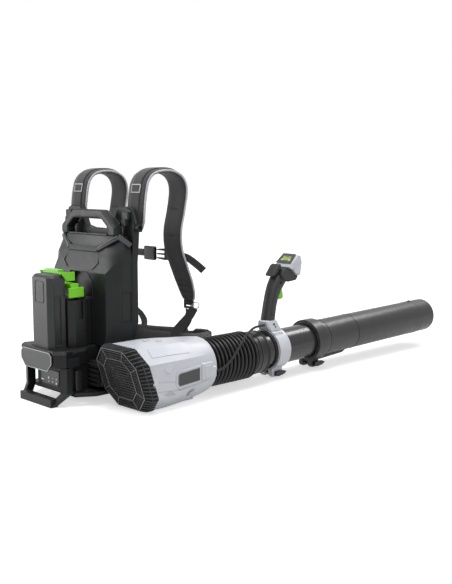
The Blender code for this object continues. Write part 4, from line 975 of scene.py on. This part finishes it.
for s, side in SIDES:
    slab(f"battery_seam_{side}", s * 0.0466, 0.0002, (-0.1245, 0.1480), (-0.1240, 0.3100),
         "port", 0.0001, "power")
    slab(f"battery_cap_line_{side}", s * 0.0464, 0.0004, (-0.1240, 0.2790), (-0.0920, 0.2800),
         "port", 0.0001, "power")
    for k, y in enumerate((-0.0700, -0.0460)):
        slab(f"port_rib_{k + 1}_{side}", s * 0.0660, 0.0006, (y - 0.0010, 0.150),
             (y + 0.0010, 0.2640), "port", 0.0004)
    ring_plate(f"latch_edge_{side}", oblong(-0.0860, 0.2755, -0.0445, 0.2970), 0.0012,
               "x", s * 0.0610, s * 0.0614, "green", body="latch")

# ------------------------------------------------------------ cover, handle and frame
# The raised collar over the cover: corners, and the way its face looks at each of them.
COLLAR = [(0.0655, 0.0040, 0.3930), (0.1050, 0.0165, 0.4160), (0.1235, 0.0265, 0.4265),
          (0.1445, 0.0470, 0.4040)]
COLLAR_LINE = [(0.0650, -0.0020, 0.3960), (0.1040, 0.0105, 0.4195), (0.1220, 0.0205, 0.4300)]
COLLAR_FACE = [(0, -0.86, 0.5), (0.3, -0.8, 0.5), (0.55, -0.6, 0.55), (0.95, -0.2, 0.2)]
COLLAR_WIDTH, COLLAR_HEIGHT, COLLAR_EDGE = 0.0150, 0.0065, 0.0018
for s, side in SIDES:
    face = mirrored(s, COLLAR_FACE)
    rail(f"cover_collar_{side}", mirrored(s, COLLAR), COLLAR_WIDTH, COLLAR_HEIGHT, face, "trim",
         COLLAR_EDGE)
    rail(f"cover_collar_line_{side}", mirrored(s, COLLAR_LINE), 0.0022, 0.0016, face[:3], "line",
         0.0004)
rail("cover_collar_mid", [(-0.0660, 0.0040, 0.3930), (0.0660, 0.0040, 0.3930)], COLLAR_WIDTH,
     COLLAR_HEIGHT, COLLAR_FACE[0], "trim", COLLAR_EDGE)
ring_plate("bay_rim", whole([(0.0625, 0.148), (0.0625, 0.3115), (0.0375, 0.3360)]), 0.0022,
           "y", -0.0175, -0.0158, "port", 0.0006)
for s, side in SIDES:
    rail(f"cover_panel_edge_{side}", mirrored(s, [(0.0560, -0.0162, 0.3420),
                                                  (0.0780, -0.0105, 0.3600),
                                                  (0.0640, 0.0010, 0.3880)]), 0.0030, 0.0012,
         (0, -0.95, 0.3), "trim", 0.0004)
for s, side in SIDES:
    ring_plate(f"side_panel_{side}", oblong(0.0160, 0.3660, 0.0480, 0.2080), 0.0022,
               "x", s * 0.1447, s * 0.1459, "charcoal", 0.0005)
    slab(f"side_panel_bar_{side}", s * 0.1455, 0.0010, (0.0170, 0.2860), (0.0470, 0.2920),
         "charcoal", 0.0006)
    slab(f"ear_clip_{side}", s * 0.128, 0.013, (0.0400, 0.4720), (0.0520, 0.4930),
         "charcoal", 0.0022)
    slab(f"ear_tongue_{side}", s * 0.128, 0.009, (0.0350, 0.4560), (0.0515, 0.4740),
         "deep", 0.0018)
    rail(f"ear_edge_{side}", mirrored(s, [(0.1560, 0.0560, 0.4620), (0.1430, 0.0560, 0.4985),
                                          (0.1205, 0.0560, 0.5065), (0.0850, 0.0560, 0.5045)]),
         0.0060, 0.0008, mirrored(s, [(1, 0, 0.3), (0.6, 0, 0.8), (0, 0, 1), (0, 0, 1)]),
         "trim", 0.0003)
    stud(f"ear_knob_{side}", (s * 0.1610, 0.0600, 0.4520), (s, 0, 0), 0.0092, 0.0130, "deep", 0.55)
    stud(f"ear_knob_base_{side}", (s * 0.1545, 0.0600, 0.4520), (s, 0, 0), 0.0120, 0.0040,
         "charcoal")
block("handle_grip_pad", (-0.0500, 0.0105, 0.4760), (0.0500, 0.0415, 0.4790), "rubber", 0.0012)
rail("handle_top_line", [(-0.0560, 0.0118, 0.4900), (0.0560, 0.0118, 0.4900)], 0.0022, 0.0006,
     (0, -1, 0), "trim", 0.0002)
rail("cover_top_step", [(-0.0860, 0.0170, 0.4306), (0.0860, 0.0170, 0.4306)], 0.0090, 0.0035,
     (0, 0, 1), "trim", 0.0010)

# ------------------------------------------------------------ intake
LEAN = math.tan(math.radians(18.0))
# Half width, half height and corner cut of the intake's eight-sided outlines.
SCREEN_SIZE, SCREEN_CELLS, WIRE = (0.0742, 0.0712, 0.038), (21, 20), 0.0024
LINE_OUTER, LINE_INNER = (0.0812, 0.0782, 0.0382), (0.0560, 0.0530, 0.0260)
SPOKE_ENDS = (0.0800, 0.0770, 0.0382)
RIM_FRONT, RIM_BACK, RIM_LINE = ((0.0822, 0.0782, 0.0382), (0.0912, 0.0822, 0.0380),
                                 (0.0902, 0.0812, 0.0380))
RIB_SPACING = 0.0098


def lean_place(co):
    """A point on the upright intake, on the leaning one."""
    return Vector((AXIS.x + co.x, co.y - LEAN * co.z, AXIS.z + co.z))


def eight(w, h, c):
    return [(w, -h + c), (w, h - c), (w - c, h), (-w + c, h), (-w, h - c), (-w, -h + c),
            (-w + c, -h), (w - c, -h)]


def intake_screen():
    """The perforated plate over the grille's bars."""
    obj = grid(*SCREEN_CELLS)
    w, h, c = SCREEN_SIZE
    for v in obj.data.vertices:
        v.co = (v.co.x * w, -0.0501, v.co.y * h)
    for p in obj.data.polygons:
        p.select = abs(p.center.x) + abs(p.center.z) > w + h - c - 0.001
    bpy.ops.object.mode_set(mode="EDIT")
    bpy.ops.mesh.select_mode(type="FACE")
    bpy.ops.mesh.delete(type="FACE")
    bpy.ops.object.mode_set(mode="OBJECT")
    wire = obj.modifiers.new("wire", "WIREFRAME")
    wire.thickness = WIRE
    wire.use_replace = True
    wire.use_boundary = True
    apply_all(obj)
    moved(obj, lean_place)
    done(obj, "intake_screen", "wire", "backpack", smooth=False)


def rim_ribs():
    """Ribs from the rim's front edge, over its slope and along its band."""
    parts = []
    front, back = ([Vector((x, 0, z)) for x, z in eight(*size)] for size in (RIM_FRONT, RIM_BACK))
    for i in range(8):
        k = (i + 1) % 8
        f0, f1, b0, b1 = front[i], front[k], back[i], back[k]
        out = Vector(((b1 - b0).z, 0, -(b1 - b0).x)).normalized()
        if out.dot(b0 + b1) < 0:
            out.negate()
        count = max(round((b1 - b0).length / RIB_SPACING), 2)
        for n in range(count):
            t = (n + 0.5) / count
            f, b = f0.lerp(f1, t), b0.lerp(b1, t)
            path = [lean_place(Vector((p.x, y, p.z)))
                    for p, y in ((f, -0.0480), (b, -0.0335), (b, -0.0165))]
            parts.append(rail("rib", path, 0.0034, 0.0015,
                              [out * 0.8 + Vector((0, -0.6, 0)), out, out], "trim", body=None))
    joined("rim_ribs", parts, "backpack")


intake_screen()
for name, size, at, wide in (("outer", LINE_OUTER, -0.0502, 0.0017),
                             ("inner", LINE_INNER, -0.0512, 0.0015)):
    ring_plate(f"intake_line_{name}", eight(*size), wide, "y", at - 0.0009, at, "line", 0.0002,
               lean_place)
for i, ((x0, z0), (x1, z1)) in enumerate(zip(eight(*LINE_INNER), eight(*SPOKE_ENDS))):
    ends = [lean_place(Vector((x0, -0.0512, z0))), lean_place(Vector((x1, -0.0504, z1)))]
    rail(f"intake_spoke_{i + 1}", ends, 0.0013, 0.0009, (0, -1, -LEAN), "line")
rim_ribs()
rail("rim_band_line", [lean_place(Vector((x, -0.0334, z))) for x, z in eight(*RIM_LINE)], 0.0012,
     0.0006, (0, -1, -LEAN), "line", closed=True)

# ------------------------------------------------------------ fan housing
# The housing's half width at stations along it, and the heights where its side turns inwards.
HALF_WIDTHS = [(-0.015, 0.088), (0.048, 0.088), (0.100, 0.0865), (0.145, 0.0835), (0.185, 0.0785),
               (0.206, 0.0757)]
SIDE_LOW, SIDE_HIGH = 0.0395, 0.1265


def on_side(co):
    """A point on the housing's right side: co.x is how far it stands off the wall."""
    wall = float(np.interp(co.y, *zip(*HALF_WIDTHS)))
    wall -= max(0.0, SIDE_LOW - co.z) + max(0.0, co.z - SIDE_HIGH)
    return Vector((AXIS.x + wall + co.x, co.y, co.z))


def tipped(z_low, low, z_high, high):
    """A slanted face on the housing's side: how far it stands off at two heights."""
    def place(co):
        off = co.x if co.x < 0 else low + (high - low) * (co.z - z_low) / (z_high - z_low)
        return on_side(Vector((off, co.y, co.z)))
    return place


def side_line(name, points, width, height, bevel):
    """A fine raised line along the housing's side."""
    rail(name, [on_side(Vector((-0.0004, y, z))) for y, z in points], width, height, (1, 0, 0),
         "white_seam_and_shade", bevel)


BADGE = [(0.0632, 0.0877), (0.0683, 0.0928), (0.1398, 0.0975), (0.1396, 0.0634), (0.0680, 0.0594),
         (0.0630, 0.0662)]
ISLAND = [(0.0575, 0.0905), (0.0652, 0.0991), (0.1457, 0.1025), (0.1455, 0.0583), (0.0686, 0.0523),
          (0.0572, 0.0611)]
TAB = [(-0.0190, 0.0640), (-0.0160, 0.0610), (-0.0020, 0.0620), (-0.0020, 0.0890),
       (-0.0060, 0.0915), (-0.0190, 0.0915)]
prism("badge_island", ISLAND, "x", -0.0030, 0.0020, "white", 0.0008, on_side)
prism("badge_plate", BADGE, "x", 0.0005, 0.0028, "panel", 0.0004, on_side)
ring_plate("badge_border", BADGE, 0.0012, "x", 0.0027, 0.0032, "border", 0.0002, on_side)
prism("housing_tab", TAB, "x", -0.0030, 0.0030, "white", 0.0016, on_side)
prism("housing_tab_hook", oblong(-0.0185, 0.0700, -0.0050, 0.0840), "x", 0.0010, 0.0042, "white",
      0.0012, on_side)
side_line("housing_side_line", [(0.0000, 0.0800), (0.0250, 0.0790), (0.0480, 0.0740),
                                (0.0568, 0.0735)], 0.0012, 0.0009, 0.0002)
side_line("housing_side_line_low", [(0.0000, 0.0560), (0.0300, 0.0540), (0.0680, 0.0500),
                                    (0.1455, 0.0560), (0.1700, 0.0590)], 0.0014, 0.0010, 0.0003)
prism("housing_facet_high", [(0.0175, 0.1088), (0.0324, 0.1219), (0.0523, 0.1170),
                             (0.0346, 0.0984)], "x", -0.0030, 0.0010, "white", 0.0004,
      tipped(0.0984, 0.0042, 0.1219, 0.0002))
# The low facet and the notch take the darker housing white as painted shade.
prism("housing_facet_low", [(0.0205, 0.0456), (0.0392, 0.0520), (0.0579, 0.0409),
                            (0.0377, 0.0327)], "x", -0.0060, 0.0010, "white_seam_and_shade", 0.0004,
      tipped(0.0327, 0.0004, 0.0520, 0.0036))
prism("housing_notch", [(0.1090, 0.0250), (0.1090, 0.0400), (0.1240, 0.0410), (0.1240, 0.0240)],
      "x", -0.0060, 0.0010, "white_seam_and_shade", 0.0004, tipped(0.0240, 0.0006, 0.0410, 0.0030))
plate_on("housing_panel", [(0.2960, -0.0080, 0.1420), (0.2930, 0.1180, 0.1380),
                           (0.2740, 0.1180, 0.1560), (0.2760, -0.0080, 0.1630)],
         "fan_housing", "white", 0.0012, 0.0014, (16, 6), 0.0006)
for i, y in enumerate((0.0440, 0.0680)):
    slab(f"housing_top_tab_{i + 1}", 0.2040 + (y - 0.0440), 0.0050, (y - 0.0070, 0.1600),
         (y + 0.0070, 0.1680), "white", 0.0016)
block("cable_boss", (0.2950, 0.1480, 0.0620), (0.3075, 0.1880, 0.1060), "white", 0.0045)
block("cable_boss_step", (0.2950, 0.1560, 0.0680), (0.3092, 0.1800, 0.0990), "white", 0.0020)

# ------------------------------------------------------------ tube, clamps and nozzle
# Fine rings: finish, body, and a section of (radius, station).
RINGS = {
    "cuff_rib": ("hose", "cuff", [(0.0608, 0.4010), (0.0622, 0.4020), (0.0622, 0.4045),
                                  (0.0608, 0.4055), (0.0600, 0.4032)]),
    "cuff_band": ("rubber", "cuff", [(0.0608, 0.4250), (0.0618, 0.4260), (0.0618, 0.4340),
                                     (0.0600, 0.4350), (0.0600, 0.4300)]),
    "clamp_edge_rear": ("line", "handle", [(0.0594, 0.4722), (0.0601, 0.4728), (0.0601, 0.4746),
                                           (0.0594, 0.4752), (0.0588, 0.4737)]),
    "nozzle_seam_1": ("deep", "outlet", [(0.0549, 0.7085), (0.0566, 0.7090), (0.0566, 0.7105),
                                         (0.0549, 0.7120), (0.0540, 0.7100)]),
    "nozzle_seam_2": ("deep", "outlet", [(0.0545, 0.8475), (0.0555, 0.8482), (0.0555, 0.8495),
                                         (0.0545, 0.8502), (0.0538, 0.8488)]),
    "nozzle_lip": ("trim", "outlet", [(0.0542, 1.1985), (0.0557, 1.1990), (0.0557, 1.2005),
                                      (0.0542, 1.2012), (0.0536, 1.1998)]),
}
for name, (mat, body, section) in RINGS.items():
    turned(name, section, mat, body)

# The clamp's vents: its radius, the angle they stand at, and that angle's cosine and sine.
CLAMP_RADIUS, VENT_ANGLE, VENT_COS, VENT_SIN = 0.0594, 0.95, 0.58, 0.81


def on_clamp(y):
    """Maps (off, along, round) to the handle clamp's ring at station y."""
    def place(co):
        return rise(Vector((
            AXIS.x + CLAMP_RADIUS * math.cos(VENT_ANGLE) + co.x * VENT_COS - co.z * VENT_SIN,
            y + co.y,
            AXIS.z + CLAMP_RADIUS * math.sin(VENT_ANGLE) + co.x * VENT_SIN + co.z * VENT_COS)))
    return place


for k in range(6):
    block(f"clamp_vent_{k + 1}", (-0.0004, -0.0012, -0.0050), (0.0008, 0.0012, 0.0050), "line",
          0.0002, on_clamp(0.478 + 0.0062 * k), "handle")
for k, (y, z) in enumerate(((0.4880, 0.1580), (0.4940, 0.1500))):
    stud(f"clamp_screw_{k + 1}", rise(Vector((0.2425, y, z))), (1, 0, 0.1), 0.0028, 0.0030, "deep",
         0.6, "handle")

# ------------------------------------------------------------ handle
# The display's lower edge, and how far its slope runs forwards and up.
SCREEN_FOOT = (0.5495, 0.3310)
SCREEN_Y, SCREEN_Z = 0.0300, 0.0260
SLOPE = math.hypot(SCREEN_Y, SCREEN_Z)


def on_screen(co):
    """across, up the slope, off the slope: at the display's place."""
    dy, dz = SCREEN_Y / SLOPE, SCREEN_Z / SLOPE
    return Vector((AXIS.x + co.x, SCREEN_FOOT[0] + dy * co.y - dz * co.z,
                   SCREEN_FOOT[1] + dz * co.y + dy * co.z))


ring_plate("display_surround", whole([(0.0292, 0.0006), (0.0244, SLOPE - 0.0012)]), 0.0100,
           "z", 0.0026, 0.0036, "glass", 0.0003, on_screen, "handle")
for k, (x, y, w, h, mat) in enumerate(((-0.0120, 0.0125, 0.006, 0.006, "mark"),
                                       (0.0010, 0.0250, 0.016, 0.003, "glass"))):
    block(f"display_bar_{k + 1}", (x - w / 2, y - h / 2, 0.0027), (x + w / 2, y + h / 2, 0.0032),
          mat, 0.0002, on_screen, "handle")
plate_on("grip_stripe", [(0.2385, 0.4890, 0.1860), (0.2385, 0.5120, 0.2620),
                         (0.2385, 0.5030, 0.2660), (0.2385, 0.4800, 0.1880)],
         "grip", "trim", 0.0005, 0.0007, (12, 4), body="handle")
stud("grip_screw", (0.2405, 0.5180, 0.2790), (1, 0, 0), 0.0032, 0.0030, "deep", 0.6, "handle")
for s, side in SIDES:
    x = AXIS.x + s * 0.0308
    rail(f"head_seam_{side}", [(x, 0.5600, 0.3140), (x, 0.5780, 0.3300), (x, 0.5930, 0.3300)],
         0.0010, 0.0005, (s, 0, 0), "white_seam_and_shade", body="handle")

# ------------------------------------------------------------ stage
FLOOR_LEVEL, FLOOR_TONES = -0.0006, (0.66, 0.68)
# The floor's own light near the object and far off, and the distances where that changes.
FLOOR_GLOW_NEAR, FLOOR_GLOW_FAR = 0.56, 0.98
GLOW_FROM, GLOW_TO = 1.2, 3.4
WORLD_LIGHT = 0.16
# Square lamps: where they stand, what they face, their side in metres and their power.
LAMPS = [("rear_softbox", (-2.2, -2.3, 0.9), (0.0, 0.0, 0.3), 1.8, 74),
         ("top_softbox", (0.5, -0.1, 3.0), (0.2, 0.3, 0.1), 2.2, 80),
         ("side_fill", (3.0, -0.5, 1.5), (0.2, 0.4, 0.2), 1.4, 28),
         ("tube_strip", (0.2, 3.2, 2.7), (0.22, 0.6, 0.1), 1.0, 40)]


def background_rays(tree):
    """1 for rays that should see the white background: camera, glossy and transmission."""
    path = tree.nodes.new("ShaderNodeLightPath")
    out = path.outputs["Is Camera Ray"]
    for kind in ("Is Glossy Ray", "Is Transmission Ray"):
        both = tree.nodes.new("ShaderNodeMath")
        both.operation = "MAXIMUM"
        tree.links.new(out, both.inputs[0])
        tree.links.new(path.outputs[kind], both.inputs[1])
        out = both.outputs[0]
    return out


def make_floor():
    floor = primitive(bpy.ops.mesh.primitive_plane_add, size=30)
    floor.name = "floor"
    for v in floor.data.vertices:
        v.co.z = FLOOR_LEVEL
    m = Mat("floor_white")
    low, high = FLOOR_TONES
    m.link(m.ramp(m.noise(2.0), (0.3, (low,) * 3), (0.7, (high,) * 3)), m.bsdf.inputs["Base Color"])
    m.bsdf.inputs["Roughness"].default_value = 0.7
    m.bsdf.inputs["Specular IOR Level"].default_value = 0.1
    far = m.node("ShaderNodeVectorMath", operation="LENGTH")
    m.link(m.coord.outputs["Object"], far.inputs[0])
    glow = m.node("ShaderNodeEmission")
    m.link(m.span(far.outputs["Value"], FLOOR_GLOW_NEAR, FLOOR_GLOW_FAR, GLOW_FROM, GLOW_TO),
           glow.inputs["Strength"])
    none = m.node("ShaderNodeEmission", Strength=0.0)
    pick = m.node("ShaderNodeMixShader")
    both = m.node("ShaderNodeAddShader")
    m.link(background_rays(m.t), pick.inputs[0])
    m.link(none.outputs[0], pick.inputs[1])
    m.link(glow.outputs[0], pick.inputs[2])
    m.link(m.bsdf.outputs[0], both.inputs[0])
    m.link(pick.outputs[0], both.inputs[1])
    m.link(both.outputs[0], m.t.nodes["Material Output"].inputs["Surface"])
    floor.data.materials.append(m.m)


def make_world():
    """A dim even light for the object, in front of a background that is seen white."""
    world = bpy.data.worlds.new("studio")
    SCENE.world = world
    world.use_nodes = True
    tree = world.node_tree
    light, seen = tree.nodes["Background"], tree.nodes.new("ShaderNodeBackground")
    mix = tree.nodes.new("ShaderNodeMixShader")
    for shader, strength, socket in ((light, WORLD_LIGHT, 1), (seen, 1.0, 2)):
        shader.inputs["Color"].default_value = (1, 1, 1, 1)
        shader.inputs["Strength"].default_value = strength
        tree.links.new(shader.outputs[0], mix.inputs[socket])
    tree.links.new(background_rays(tree), mix.inputs[0])
    tree.links.new(mix.outputs[0], tree.nodes["World Output"].inputs[0])


def make_lamp(name, at, to, size, power):
    data = bpy.data.lights.new(name, "AREA")
    data.shape = "RECTANGLE"
    data.size = data.size_y = size
    data.energy = power
    lamp = bpy.data.objects.new(name, data)
    SCENE.collection.objects.link(lamp)
    lamp.location = at
    lamp.rotation_euler = (Vector(to) - Vector(at)).to_track_quat("-Z", "Y").to_euler()


make_floor()
make_world()
for lamp in LAMPS:
    make_lamp(*lamp)
